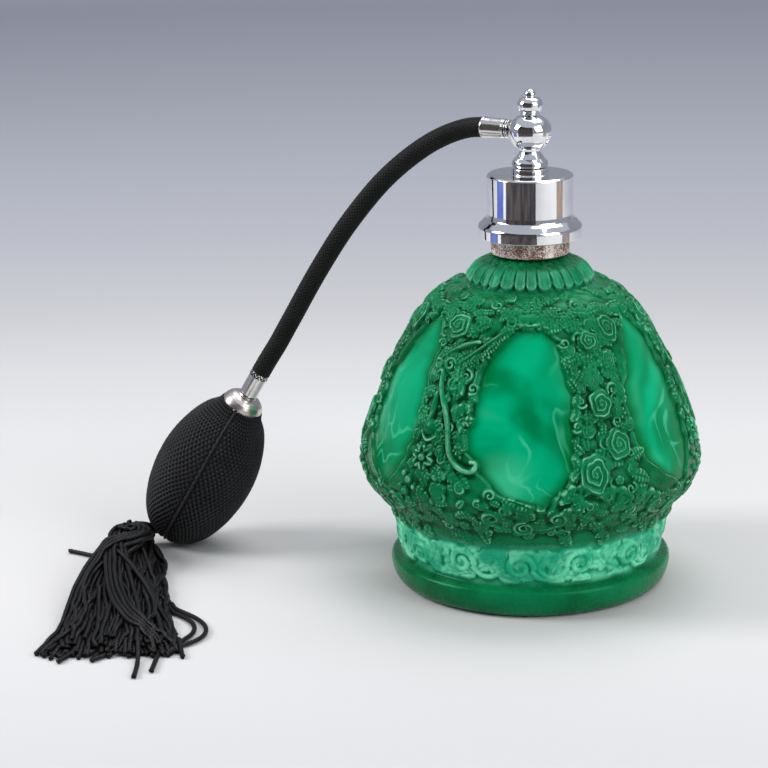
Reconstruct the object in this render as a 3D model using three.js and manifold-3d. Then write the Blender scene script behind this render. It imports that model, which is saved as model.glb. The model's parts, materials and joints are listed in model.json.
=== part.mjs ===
// Perfume atomiser with a squeeze bulb: pressed-glass bottle, screw collar, spray head, braided hose,
// knitted bulb and tassel.
// Units are millimetres. +Z is up, the origin is the centre of the bottle's flat underside, and the spray
// leaves towards +X. The hose leaves towards -X, and the bulb rests on the same surface as the bottle.

import * as THREE from "three";
import { mergeVertices } from "three/addons/utils/BufferGeometryUtils.js";
import Module from "manifold-3d";

const wasm = await Module();
wasm.setup();

// ---- driving dimensions ----------------------------------------------------------------------------------

// Bottle
const BOTTLE_SEGMENTS = 60;
const NECK_TOP_Z = 124.4;
const NECK_R = 9.6;
const NECK_BORE_R = 8.7;
const CAVITY_FLOOR_Z = 24;
const PANEL_COUNT = 6;
const PANEL_FIRST_DEG = -69;
const PANEL_LOW_Z = 24;
const PANEL_HIGH_Z = 95;
const PANEL_HALF_DEG = 21;
const PANEL_DEPTH = 1.1;
const PANEL_EDGE_DEG = 6;

// Neck ring and screw collar
const CEMENT_R = [9.9, 10.5];
const RING_BORE_R = 10.8;
const RING_SKIRT_R = 12.4;
const RING_THREAD_R = 11.6;
const RING_SKIRT_Z = [106.9, 111.6];
const COLLAR_BASE_Z = 112.0;
const COLLAR_TOP_Z = 132.0;
const COLLAR_R = 13.6;
const COLLAR_FLANGE_R = 16.4;
const COLLAR_BORE_R = 12.95;
const COLLAR_PLATE_Z = 130.2;
const COLLAR_HOLE_R = 3.4;
const COLLAR_HUB_R = 5.95;
const COLLAR_HUB_Z = 134.0;
const INSERT_R = [11.95, 12.65];
const INSERT_Z = [112.6, 124.4];

// Stack clamped under the collar's top plate
const GASKET_Z = [124.8, 126.2];
const STEM_FLANGE_Z = [126.5, 127.9];
const WASHER_Z = [128.2, 129.8];
const STEM_R = 3.0;
const STEM_BORE_R = 1.75;
const STEM_TOP_Z = 136.9;

// Spray head
const HEAD_FOOT_Z = 134.3;
const HEAD_WAIST_Z = 140.4;
const HEAD_BALL_Z = 145.5;
const HEAD_BALL_R = 6.8;
const HEAD_BALL_RISE = 5.4;
const HEAD_CUT_Z = 150.3;
const FINIAL_PIN_R = 1.5;
const FINIAL_PIN_Z = 148.6;
const FINIAL_BALL_Z = 153.6;
const FINIAL_BALL_R = 4.07;
const FINIAL_TOP_Z = 158.53;
const SPRAY_Z = 143.1;
const BORE_R = 1.5;
const NIPPLE_SEAT_R = 2.1;
const NOZZLE_SEAT_R = 1.4;
const DIP_TUBE_R = 1.35;
const DIP_TUBE_BORE_R = 0.8;
const DIP_TUBE_Z = [28, 141.8];

// Hose and its ferrules
const HOSE_R = 3.2;
const HOSE_SIDES = 10;
const HOSE_STEPS = 18;
const FERRULE_BORE_R = 2.1;
const UPPER_FERRULE_R = 3.35;
const UPPER_FERRULE_X = [-16.2, -8.25];
const LOWER_FERRULE_R = 3.15;
const LOWER_FERRULE_Z = [5.3, 14.2];

// The hose's centre line, from the head's ferrule to the bulb's
const HOSE_ROUTE = [
  [-16.55, 0, 145.5],
  [-20.4, -0.1, 145.1],
  [-24.8, -0.7, 143.9],
  [-32.3, -2.4, 140.4],
  [-40.5, -5.0, 134.45],
  [-47.9, -7.5, 127.4],
  [-54.5, -9.6, 119.4],
  [-60.8, -11.4, 110.7],
  [-66.7, -12.8, 101.4],
  [-72.5, -13.95, 91.6],
  [-78.05, -15.1, 81.55],
  [-80.8, -15.65, 76.65],
  [-83.5, -16.25, 71.8],
  [-86.8, -17.15, 66.35],
  [-89.26, -17.73, 62.11],
];

// Bulb: its own group has +Z along the bulb's axis, from the tail to the hose, and its origin at the neck
const BULB_ORIGIN = [-96.48, -19.13, 49.62];
const BULB_LEAN_DEG = 30.5;
const BULB_HEADING_DEG = 11;
const BULB_SEGMENTS = 28;
const NET_WALL = 0.6;
const NET_GAP = 0.35;
const RUBBER_WALL = 1.5;
const FIXED_EDGE_Y = -6.2;
const PRESSED_EDGE_Y = -5.2;
const PRESSED_Z = [-42.5, -10.5];
const FIXED_Z = [-44.5, -8.5];
// Net outside radius at each depth below the neck
const NET_PROFILE = [
  [7.3, 0.5],
  [10.5, 4.4],
  [13.3, 9.7],
  [15.2, 15.4],
  [16.4, 22.0],
  [16.6, 28.0],
  [16.1, 33.8],
  [14.9, 39.7],
  [12.8, 45.7],
  [9.4, 50.9],
  [4.6, 54.2],
];

// Tassel: cross-sections of the skirt lying on the surface, as [x, y, half width, height]
const TASSEL_SECTIONS = [
  [-128.4, -37.8, 5.6, 9.4],
  [-125.2, -43.8, 9.0, 12.8],
  [-120.2, -54.8, 11.6, 13.0],
  [-114.6, -66.0, 13.2, 11.5],
  [-109.2, -75.8, 14.8, 10.5],
  [-102.6, -86.8, 16.0, 9.5],
  [-95.4, -98.0, 16.8, 8.5],
  [-88.2, -109.8, 17.8, 7.0],
  [-80.4, -123.1, 20.5, 4.6],
];
const TASSEL_FLOOR_Z = 0.02;
const BINDING_START = [-127.9, -30.2, 4.6];
const BINDING_END = [-129.4, -36.3, 6.6];
const BINDING_R = 3.2;

// ---- materials -------------------------------------------------------------------------------------------

function material(color, roughness, metalness) {
  return new THREE.MeshStandardMaterial({ color, roughness, metalness });
}

const GREEN_GLASS = material(0x0b8a55, 0.12, 0.0);
const CHROME = material(0xd6d8da, 0.08, 1.0);
const WORN_PLATING = material(0x9b8a80, 0.45, 0.9);
const NICKEL = material(0xc9bdb2, 0.25, 1.0);
const BRASS = material(0xb08a4a, 0.35, 1.0);
const STEEL = material(0xb8bcc0, 0.2, 1.0);
const PLASTER = material(0xcfc6b4, 0.9, 0.0);
const CORK = material(0xa9835a, 0.9, 0.0);
const RUBBER = material(0x2a2522, 0.8, 0.0);
const BLACK_BRAID = material(0x141416, 0.7, 0.0);
const BLACK_KNIT = material(0x17181b, 0.75, 0.0);
const BLACK_RAYON = material(0x121214, 0.45, 0.0);

// ---- geometry helpers ------------------------------------------------------------------------------------

// Signed volume of an indexed geometry: positive when its faces point out
function signedVolume(position, index) {
  const a = new THREE.Vector3();
  const b = new THREE.Vector3();
  const c = new THREE.Vector3();
  let total = 0;
  for (let i = 0; i < index.length; i += 3) {
    a.fromBufferAttribute(position, index[i]);
    b.fromBufferAttribute(position, index[i + 1]);
    c.fromBufferAttribute(position, index[i + 2]);
    total += a.dot(b.cross(c)) / 6;
  }
  return total;
}

// A closed geometry with shared vertices, no flat triangles, and its faces pointing out
function closedGeometry(source) {
  const geometry = source.clone();
  geometry.deleteAttribute("normal");
  geometry.deleteAttribute("uv");
  const merged = mergeVertices(geometry, 1e-4);
  const corners = Array.from(merged.index.array);
  const kept = [];
  for (let i = 0; i < corners.length; i += 3) {
    const [a, b, c] = corners.slice(i, i + 3);
    if (a !== b && b !== c && c !== a) {
      kept.push(a, b, c);
    }
  }
  if (signedVolume(merged.attributes.position, kept) < 0) {
    kept.reverse();
  }
  merged.setIndex(kept);
  merged.computeVertexNormals();
  return merged;
}

function toManifold(geometry) {
  const closed = closedGeometry(geometry);
  return new wasm.Manifold(new wasm.Mesh({
    numProp: 3,
    vertProperties: new Float32Array(closed.attributes.position.array),
    triVerts: new Uint32Array(closed.index.array),
  }));
}

function fromManifold(solid) {
  const mesh = solid.getMesh();
  const geometry = new THREE.BufferGeometry();
  geometry.setAttribute("position", new THREE.BufferAttribute(new Float32Array(mesh.vertProperties), 3));
  geometry.setIndex(Array.from(mesh.triVerts));
  return closedGeometry(geometry);
}

// Turned solid about Z from [radius, z] points
function turned(points, segments = 32) {
  const profile = points.map(([r, z]) => new THREE.Vector2(r, z));
  const geometry = new THREE.LatheGeometry(profile, segments);
  geometry.rotateX(Math.PI / 2);
  return closedGeometry(geometry);
}

// Turned solid whose profile closes on itself
function turnedRing(points, segments = 32) {
  return turned([...points, points[0]], segments);
}

// Plain tube between two radii and two heights
function tube([innerR, outerR], [lowZ, highZ], segments = 32) {
  return turnedRing([
    [innerR, lowZ],
    [outerR, lowZ],
    [outerR, highZ],
    [innerR, highZ],
  ], segments);
}

// Drill along X from x0 to x1 at height z
function drillX(radius, x0, x1, z) {
  const drill = new THREE.CylinderGeometry(radius, radius, x1 - x0, 24);
  drill.rotateZ(Math.PI / 2);
  drill.translate((x0 + x1) / 2, 0, z);
  return drill;
}

const root = new THREE.Group();

function addMesh(parent, name, geometry, surface) {
  const mesh = new THREE.Mesh(geometry, surface);
  mesh.name = name;
  parent.add(mesh);
  return mesh;
}

// ---- glass bottle ----------------------------------------------------------------------------------------

const BOTTLE_OUTSIDE = [
  [0, 0],
  [42.5, 0],
  [44.4, 1.6],
  [44.9, 4.5],
  [44.7, 8.2],
  [43.4, 9.6],
  [41.4, 11.2],
  [41.8, 14.5],
  [43.2, 18.0],
  [43.0, 22.0],
  [46.9, 26.0],
  [50.8, 30.0],
  [53.6, 35.0],
  [55.2, 40.5],
  [54.2, 46.5],
  [51.8, 54.0],
  [48.8, 62.5],
  [45.7, 71.5],
  [41.6, 79.0],
  [37.5, 86.7],
  [32.3, 94.0],
  [26.3, 98.0],
  [20.6, 100.3],
  [16.2, 104.6],
  [12.6, 106.3],
  [NECK_R, 106.6],
  [NECK_R, NECK_TOP_Z - 0.6],
  [NECK_R - 0.4, NECK_TOP_Z],
];
const BOTTLE_INSIDE = [
  [NECK_BORE_R, NECK_TOP_Z],
  [NECK_BORE_R, 105.5],
  [14.5, 99.5],
  [30.0, 87.5],
  [40.5, 71.0],
  [47.5, 52.0],
  [48.6, 39.0],
  [40.0, 27.0],
  [0, CAVITY_FLOOR_Z],
];

// Depth of the shallow pointed panel at height z, an angle away from the panel's centre line
function panelDepth(z, offDeg) {
  if (z <= PANEL_LOW_Z || z >= PANEL_HIGH_Z) {
    return 0;
  }
  const along = (z - PANEL_LOW_Z) / (PANEL_HIGH_Z - PANEL_LOW_Z);
  const halfWidth = PANEL_HALF_DEG * Math.sin(Math.PI * Math.pow(along, 0.8));
  const inside = THREE.MathUtils.clamp((halfWidth - Math.abs(offDeg)) / PANEL_EDGE_DEG, 0, 1);
  return PANEL_DEPTH * inside;
}

function glassBottle() {
  const profile = [...BOTTLE_OUTSIDE, ...BOTTLE_INSIDE].map(([r, z]) => new THREE.Vector2(r, z));
  const geometry = new THREE.LatheGeometry(profile, BOTTLE_SEGMENTS);
  geometry.rotateX(Math.PI / 2);
  const position = geometry.attributes.position;
  const panelStepDeg = 360 / PANEL_COUNT;
  for (let i = 0; i < position.count; i += 1) {
    if (i % profile.length >= BOTTLE_OUTSIDE.length) {
      continue;
    }
    const x = position.getX(i);
    const y = position.getY(i);
    const angleDeg = THREE.MathUtils.radToDeg(Math.atan2(y, x)) - PANEL_FIRST_DEG;
    const offDeg = angleDeg - panelStepDeg * Math.round(angleDeg / panelStepDeg);
    const radius = Math.hypot(x, y);
    const depth = panelDepth(position.getZ(i), offDeg);
    if (depth > 0) {
      position.setXY(i, x * (1 - depth / radius), y * (1 - depth / radius));
    }
  }
  return closedGeometry(geometry);
}

addMesh(root, "glass_bottle", glassBottle(), GREEN_GLASS);

// ---- neck ring, cemented on the glass neck ---------------------------------------------------------------

addMesh(root, "neck_cement", tube(CEMENT_R, [107.2, NECK_TOP_Z - 0.8], 32), PLASTER);

const NECK_RING = [
  [RING_BORE_R, RING_SKIRT_Z[0]],
  [RING_SKIRT_R - 0.5, RING_SKIRT_Z[0]],
  [RING_SKIRT_R, RING_SKIRT_Z[0] + 0.6],
  [RING_SKIRT_R, RING_SKIRT_Z[1] - 0.5],
  [RING_SKIRT_R - 0.4, RING_SKIRT_Z[1]],
  [RING_THREAD_R, RING_SKIRT_Z[1]],
  [RING_THREAD_R, NECK_TOP_Z - 0.5],
  [RING_THREAD_R - 0.5, NECK_TOP_Z],
  [RING_BORE_R, NECK_TOP_Z],
];
addMesh(root, "neck_ring", turnedRing(NECK_RING, 36), WORN_PLATING);

// ---- screw collar ----------------------------------------------------------------------------------------

const COLLAR_SHELL = [
  [COLLAR_BORE_R, COLLAR_BASE_Z],
  [15.7, COLLAR_BASE_Z],
  [16.25, 112.5],
  [COLLAR_FLANGE_R, 113.6],
  [16.3, 115.0],
  [15.7, 116.2],
  [14.7, 117.2],
  [13.9, 118.2],
  [COLLAR_R, 119.6],
  [COLLAR_R, COLLAR_TOP_Z - 1.0],
  [13.2, 131.7],
  [12.4, COLLAR_TOP_Z],
  [COLLAR_HUB_R + 0.2, COLLAR_TOP_Z],
  [COLLAR_HUB_R, COLLAR_TOP_Z + 0.3],
  [COLLAR_HUB_R, COLLAR_HUB_Z - 0.3],
  [COLLAR_HUB_R - 0.3, COLLAR_HUB_Z],
  [COLLAR_HOLE_R, COLLAR_HUB_Z],
  [COLLAR_HOLE_R, COLLAR_PLATE_Z],
  [12.2, COLLAR_PLATE_Z],
  [COLLAR_BORE_R, 129.4],
];
addMesh(root, "collar_shell", turnedRing(COLLAR_SHELL, 40), CHROME);
addMesh(root, "collar_thread_insert", tube(INSERT_R, INSERT_Z, 32), BRASS);

// ---- stack under the collar's top plate, carried by the head ---------------------------------------------

addMesh(root, "neck_gasket", tube([3.5, 11.6], GASKET_Z, 32), CORK);

const STEM = [
  [STEM_BORE_R, STEM_FLANGE_Z[0]],
  [11.3, STEM_FLANGE_Z[0]],
  [11.3, STEM_FLANGE_Z[1]],
  [STEM_R, STEM_FLANGE_Z[1]],
  [STEM_R, STEM_TOP_Z],
  [STEM_BORE_R, STEM_TOP_Z],
];
addMesh(root, "stem_flange", turnedRing(STEM), BRASS);
addMesh(root, "swivel_washer", tube([COLLAR_HOLE_R, 9.5], WASHER_Z, 32), CORK);
addMesh(root, "dip_tube_socket", tube([1.7, 3.1], [118.5, 126.2], 24), BRASS);
addMesh(root, "dip_tube", tube([DIP_TUBE_BORE_R, DIP_TUBE_R], DIP_TUBE_Z, 16), STEEL);

// ---- spray head ------------------------------------------------------------------------------------------

// Points on the outline of a ball, or of one squashed to a rise above its centre, between two heights
function ballArc(radius, rise, centreZ, fromZ, toZ, steps) {
  const points = [];
  const a0 = Math.asin((fromZ - centreZ) / rise);
  const a1 = Math.asin((toZ - centreZ) / rise);
  for (let i = 0; i <= steps; i += 1) {
    const a = a0 + ((a1 - a0) * i) / steps;
    points.push([radius * Math.cos(a), centreZ + rise * Math.sin(a)]);
  }
  return points;
}

// Straight drill up the middle, from z0 to z1
function drillZ(radius, z0, z1) {
  return turned([[0, z0], [radius, z0], [radius, z1], [0, z1]], 24);
}

function headBody() {
  const outline = turned([
    [0, HEAD_FOOT_Z],
    [5.35, HEAD_FOOT_Z],
    [5.8, 134.9],
    [5.6, 135.9],
    [4.5, 137.0],
    [3.6, 138.4],
    [3.2, 139.2],
    [3.4, 140.1],
    ...ballArc(HEAD_BALL_R, HEAD_BALL_R, HEAD_BALL_Z, HEAD_WAIST_Z, HEAD_BALL_Z, 5),
    ...ballArc(HEAD_BALL_R, HEAD_BALL_RISE, HEAD_BALL_Z, HEAD_BALL_Z + 0.8, HEAD_CUT_Z, 5),
    [0, HEAD_CUT_Z],
  ], 32);
  const cuts = [
    drillZ(STEM_R + 0.3, HEAD_FOOT_Z - 1, STEM_TOP_Z + 0.4),
    drillZ(STEM_BORE_R, STEM_TOP_Z, HEAD_BALL_Z + 1),
    drillZ(FINIAL_PIN_R + 0.3, FINIAL_PIN_Z - 0.3, HEAD_CUT_Z + 1),
    drillX(BORE_R, -9, 0, HEAD_BALL_Z),
    drillX(NIPPLE_SEAT_R, -9, -4.2, HEAD_BALL_Z),
    drillX(0.9, 0, 9, SPRAY_Z),
    drillX(NOZZLE_SEAT_R, 4.0, 9, SPRAY_Z),
  ];
  let body = toManifold(outline);
  for (const cut of cuts) {
    body = body.subtract(toManifold(cut));
  }
  return fromManifold(body);
}

addMesh(root, "head_body", headBody(), CHROME);

const BEAD_R = 1.88;
const FINIAL = [
  [0, FINIAL_PIN_Z],
  [FINIAL_PIN_R, FINIAL_PIN_Z],
  [FINIAL_PIN_R, HEAD_CUT_Z + 0.3],
  [2.95, HEAD_CUT_Z + 0.3],
  [2.9, 151.2],
  ...ballArc(FINIAL_BALL_R, 3.45, FINIAL_BALL_Z, 151.4, FINIAL_BALL_Z, 3),
  ...ballArc(FINIAL_BALL_R, 3.0, FINIAL_BALL_Z, FINIAL_BALL_Z + 0.7, 155.9, 3),
  [1.5, 156.0],
  ...ballArc(BEAD_R, BEAD_R, FINIAL_TOP_Z - BEAD_R, 156.1, FINIAL_TOP_Z - 0.01, 5),
  [0, FINIAL_TOP_Z],
];
addMesh(root, "finial", turned(FINIAL, 28), CHROME);

// Pieces on the head's cross bores are turned about Z and laid along X: local +Z becomes +X
const sprayGroup = new THREE.Group();
sprayGroup.position.set(0, 0, SPRAY_Z);
sprayGroup.rotation.set(0, Math.PI / 2, 0);
root.add(sprayGroup);
addMesh(sprayGroup, "spray_nozzle", turnedRing([
  [0.3, 4.3],
  [1.1, 4.3],
  [1.1, 6.4],
  [0.9, 6.6],
  [0.3, 6.6],
], 24), CHROME);

const nippleGroup = new THREE.Group();
nippleGroup.position.set(0, 0, HEAD_BALL_Z);
nippleGroup.rotation.set(0, -Math.PI / 2, 0);
root.add(nippleGroup);
addMesh(nippleGroup, "hose_nipple", turnedRing([
  [0.75, 4.5],
  [1.8, 4.5],
  [1.8, 7.5],
  [2.9, 7.5],
  [2.9, 7.95],
  [1.75, 7.95],
  [1.75, 15.7],
  [1.4, 16.0],
  [0.75, 16.0],
], 24), NICKEL);
addMesh(nippleGroup, "nipple_washer", tube([2.1, 3.0], [6.8, 7.2], 24), NICKEL);
addMesh(nippleGroup, "air_jet", tube([0.35, 1.2], [2.0, 4.2], 16), BRASS);

// ---- hose ------------------------------------------------------------------------------------------------

addMesh(nippleGroup, "upper_ferrule", turnedRing([
  [FERRULE_BORE_R, -UPPER_FERRULE_X[1]],
  [UPPER_FERRULE_R - 0.3, -UPPER_FERRULE_X[1]],
  [UPPER_FERRULE_R, -UPPER_FERRULE_X[1] + 0.3],
  [UPPER_FERRULE_R, -UPPER_FERRULE_X[0]],
  [FERRULE_BORE_R, -UPPER_FERRULE_X[0]],
], 28), NICKEL);

function hoseGeometry() {
  const route = new THREE.CatmullRomCurve3(HOSE_ROUTE.map(([x, y, z]) => new THREE.Vector3(x, y, z)));
  const section = new THREE.Shape();
  for (let i = 0; i < HOSE_SIDES; i += 1) {
    const a = (2 * Math.PI * i) / HOSE_SIDES;
    const corner = [HOSE_R * Math.cos(a), HOSE_R * Math.sin(a)];
    if (i === 0) {
      section.moveTo(...corner);
    } else {
      section.lineTo(...corner);
    }
  }
  section.closePath();
  return closedGeometry(new THREE.ExtrudeGeometry(section, {
    steps: HOSE_STEPS,
    bevelEnabled: false,
    extrudePath: route,
  }));
}

addMesh(root, "braided_hose", hoseGeometry(), BLACK_BRAID);

// ---- bulb ------------------------------------------------------------------------------------------------

const bulbGroup = new THREE.Group();
bulbGroup.position.set(...BULB_ORIGIN);
bulbGroup.rotation.set(
  0,
  THREE.MathUtils.degToRad(BULB_LEAN_DEG),
  THREE.MathUtils.degToRad(BULB_HEADING_DEG),
  "ZYX",
);
root.add(bulbGroup);

addMesh(bulbGroup, "lower_ferrule", tube([FERRULE_BORE_R, LOWER_FERRULE_R], LOWER_FERRULE_Z, 28), NICKEL);

addMesh(bulbGroup, "bulb_collar", turnedRing([
  [6.3, 0.0],
  [6.9, 0.0],
  [6.95, 0.8],
  [6.75, 1.9],
  [6.1, 3.0],
  [5.0, 3.9],
  [3.9, 4.3],
  [3.0, 4.5],
  [2.8, 5.0],
  [2.1, 5.0],
  [2.1, 3.7],
  [3.6, 3.3],
  [4.9, 2.4],
  [5.9, 1.0],
], 28), NICKEL);

// Stem through the collar, with the outlet valve's chamber inside the bulb's neck
addMesh(bulbGroup, "outlet_valve_body", turnedRing([
  [0.9, -9.0],
  [4.0, -9.0],
  [4.0, -0.9],
  [1.75, -0.9],
  [1.75, 13.6],
  [0.8, 13.6],
  [0.8, -2.9],
  [2.2, -4.3],
  [2.2, -6.6],
  [0.9, -7.9],
], 20), BRASS);

const outletBall = new THREE.SphereGeometry(1.75, 16, 8);
outletBall.translate(0, 0, -6.25);
addMesh(bulbGroup, "outlet_valve_ball", closedGeometry(outletBall), STEEL);

addMesh(bulbGroup, "intake_valve_body", turnedRing([
  [0.9, -53.9],
  [2.5, -53.9],
  [2.5, -46.5],
  [0.9, -46.5],
  [0.9, -47.3],
  [1.7, -48.1],
  [1.7, -50.3],
  [0.9, -51.1],
], 20), BRASS);

const intakeBall = new THREE.SphereGeometry(1.35, 16, 8);
intakeBall.translate(0, 0, -50.0);
addMesh(bulbGroup, "intake_valve_ball", closedGeometry(intakeBall), STEEL);

// A shell of the bulb's outline, lying between two distances inside the net's outside
function bulbShell(outset, inset, fromDepth, toDepth) {
  const points = NET_PROFILE.filter(([, depth]) => depth >= fromDepth && depth <= toDepth);
  const outside = points.map(([r, depth]) => [r - outset, -depth]);
  const inside = points.map(([r, depth]) => [r - inset, -depth]).reverse();
  return turnedRing([...outside, ...inside], BULB_SEGMENTS);
}

addMesh(bulbGroup, "bulb_net", bulbShell(0, NET_WALL, 0, 60), BLACK_KNIT);

// The part of a shell inside a block of the bulb's group
function shellInBlock(shell, [y0, y1], [z0, z1]) {
  const block = new THREE.BoxGeometry(60, y1 - y0, z1 - z0);
  block.translate(0, (y0 + y1) / 2, (z0 + z1) / 2);
  return fromManifold(toManifold(shell).intersect(toManifold(block)));
}

// Everything of a shell outside a block of the bulb's group
function shellLessBlock(shell, [y0, y1], [z0, z1]) {
  const block = new THREE.BoxGeometry(60, y1 - y0, z1 - z0);
  block.translate(0, (y0 + y1) / 2, (z0 + z1) / 2);
  return fromManifold(toManifold(shell).subtract(toManifold(block)));
}

const fixedOutset = NET_WALL + NET_GAP;
const fixedInset = fixedOutset + RUBBER_WALL;
const pressedOutset = fixedInset + NET_GAP;
const fixedShell = bulbShell(fixedOutset, fixedInset, 2.0, 52);
const pressedShell = bulbShell(pressedOutset, pressedOutset + RUBBER_WALL, 8.0, 46);
addMesh(bulbGroup, "bulb_fixed_half", shellLessBlock(fixedShell, [-30, FIXED_EDGE_Y], FIXED_Z), RUBBER);
addMesh(bulbGroup, "bulb_pressed_half", shellInBlock(pressedShell, [-30, PRESSED_EDGE_Y], PRESSED_Z), RUBBER);

// ---- tassel ----------------------------------------------------------------------------------------------

function bindingGeometry() {
  const start = new THREE.Vector3(...BINDING_START);
  const end = new THREE.Vector3(...BINDING_END);
  const length = start.distanceTo(end);
  const geometry = turned([
    [0, 0],
    [BINDING_R - 0.6, 0],
    [BINDING_R, 1.2],
    [BINDING_R, length - 1.2],
    [BINDING_R - 0.6, length],
    [0, length],
  ], 24);
  const turn = new THREE.Quaternion().setFromUnitVectors(
    new THREE.Vector3(0, 0, 1),
    end.clone().sub(start).normalize(),
  );
  geometry.applyQuaternion(turn);
  geometry.translate(...BINDING_START);
  return geometry;
}

addMesh(root, "tassel_binding", bindingGeometry(), BLACK_RAYON);

// The skirt's sections stand across its length, flat below and round above
function skirtGeometry() {
  const sectionPoints = 14;
  const centres = TASSEL_SECTIONS.map(([x, y]) => new THREE.Vector2(x, y));
  const vertices = [];
  for (let i = 0; i < centres.length; i += 1) {
    const before = centres[Math.max(0, i - 1)];
    const after = centres[Math.min(centres.length - 1, i + 1)];
    const along = after.clone().sub(before).normalize();
    const across = new THREE.Vector2(-along.y, along.x);
    const [x, y, halfWidth, height] = TASSEL_SECTIONS[i];
    for (let k = 0; k < sectionPoints; k += 1) {
      const a = (Math.PI * k) / (sectionPoints - 1);
      const side = halfWidth * Math.sign(Math.cos(a)) * Math.pow(Math.abs(Math.cos(a)), 0.8);
      const up = TASSEL_FLOOR_Z + height * Math.pow(Math.sin(a), 0.7);
      const onFloor = k % (sectionPoints - 1) === 0;
      vertices.push(x + across.x * side, y + across.y * side, onFloor ? TASSEL_FLOOR_Z : up);
    }
  }
  const index = [];
  for (let i = 0; i + 1 < centres.length; i += 1) {
    for (let k = 0; k < sectionPoints; k += 1) {
      const a = i * sectionPoints + k;
      const b = i * sectionPoints + ((k + 1) % sectionPoints);
      index.push(a, b, a + sectionPoints);
      index.push(b, b + sectionPoints, a + sectionPoints);
    }
  }
  const last = (centres.length - 1) * sectionPoints;
  for (let k = 1; k + 1 < sectionPoints; k += 1) {
    index.push(0, k + 1, k);
    index.push(last, last + k, last + k + 1);
  }
  const geometry = new THREE.BufferGeometry();
  geometry.setAttribute("position", new THREE.BufferAttribute(new Float32Array(vertices), 3));
  geometry.setIndex(index);
  return closedGeometry(geometry);
}

addMesh(root, "tassel_skirt", skirtGeometry(), BLACK_RAYON);

export default root;
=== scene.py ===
"""Looks of a perfume atomiser: carved green glass, chrome spray head, braided hose, knitted bulb, tassel.

Lengths are in millimetres until make_mesh and the stage turn them into metres. +Z is up, the origin is the
centre of the bottle's underside, the spray leaves towards +X and the hose towards -X.
"""
import json
import math

import bpy
import numpy as np
from mathutils import Matrix, Vector
from mathutils.kdtree import KDTree


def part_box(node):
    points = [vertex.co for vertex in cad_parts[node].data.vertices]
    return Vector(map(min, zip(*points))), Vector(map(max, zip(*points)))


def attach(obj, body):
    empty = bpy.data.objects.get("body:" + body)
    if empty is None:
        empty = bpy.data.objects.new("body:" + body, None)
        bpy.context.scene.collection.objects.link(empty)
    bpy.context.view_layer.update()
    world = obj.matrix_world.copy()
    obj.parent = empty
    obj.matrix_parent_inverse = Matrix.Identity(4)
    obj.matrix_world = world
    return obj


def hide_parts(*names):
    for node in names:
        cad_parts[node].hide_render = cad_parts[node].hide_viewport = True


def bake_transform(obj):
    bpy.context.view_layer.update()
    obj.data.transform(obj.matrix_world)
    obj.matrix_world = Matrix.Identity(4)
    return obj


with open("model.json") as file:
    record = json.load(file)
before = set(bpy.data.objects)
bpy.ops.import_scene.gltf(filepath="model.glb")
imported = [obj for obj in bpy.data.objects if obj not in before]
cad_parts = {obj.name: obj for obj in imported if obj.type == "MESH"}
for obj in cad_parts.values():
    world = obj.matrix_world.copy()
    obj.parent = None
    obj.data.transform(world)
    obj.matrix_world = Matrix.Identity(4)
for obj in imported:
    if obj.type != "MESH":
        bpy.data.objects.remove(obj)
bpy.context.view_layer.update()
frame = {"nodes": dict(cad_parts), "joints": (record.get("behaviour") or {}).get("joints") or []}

MM = 0.001


def box_mm(node):
    """Lowest and highest corner of a CAD node, in mm."""
    low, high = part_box(node)
    return np.array(low) / MM, np.array(high) / MM


def joint(name):
    return next(j for j in frame["joints"] if j["name"] == name)


def unit(vector):
    vector = np.array(vector, float)
    return vector / np.linalg.norm(vector)


def smooth(a, b, x):
    """0 below a, 1 above b, and an S curve between them."""
    t = np.clip((x - a) / (b - a), 0, 1)
    return t * t * (3 - 2 * t)


# ---- camera ----------------------------------------------------------------------------------------------

CAMERA_AZIMUTH = math.radians(25)
CAMERA_DISTANCE = 800
CAMERA_HEIGHT = 283
CAMERA_PITCH = math.radians(15.3)
CAMERA_YAW = math.radians(3.34)
CAMERA_ROLL = math.radians(-0.9)
CAMERA_LENS = 121.6


def make_camera():
    data = bpy.data.cameras.new("camera")
    data.lens = CAMERA_LENS
    data.clip_start = 0.05
    data.clip_end = 30
    camera = bpy.data.objects.new("camera", data)
    bpy.context.scene.collection.objects.link(camera)
    turn = Matrix.Rotation(CAMERA_AZIMUTH, 4, "Z")
    place = Matrix.Translation((0, -CAMERA_DISTANCE * MM, CAMERA_HEIGHT * MM))
    yaw = Matrix.Rotation(CAMERA_YAW, 4, "Z")
    pitch = Matrix.Rotation(math.pi / 2 - CAMERA_PITCH, 4, "X")
    roll = Matrix.Rotation(CAMERA_ROLL, 4, "Z")
    camera.matrix_world = turn @ place @ yaw @ pitch @ roll
    bpy.context.scene.camera = camera


make_camera()
bpy.context.scene.view_settings.view_transform = "Standard"


# ---- mesh helpers ----------------------------------------------------------------------------------------

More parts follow.
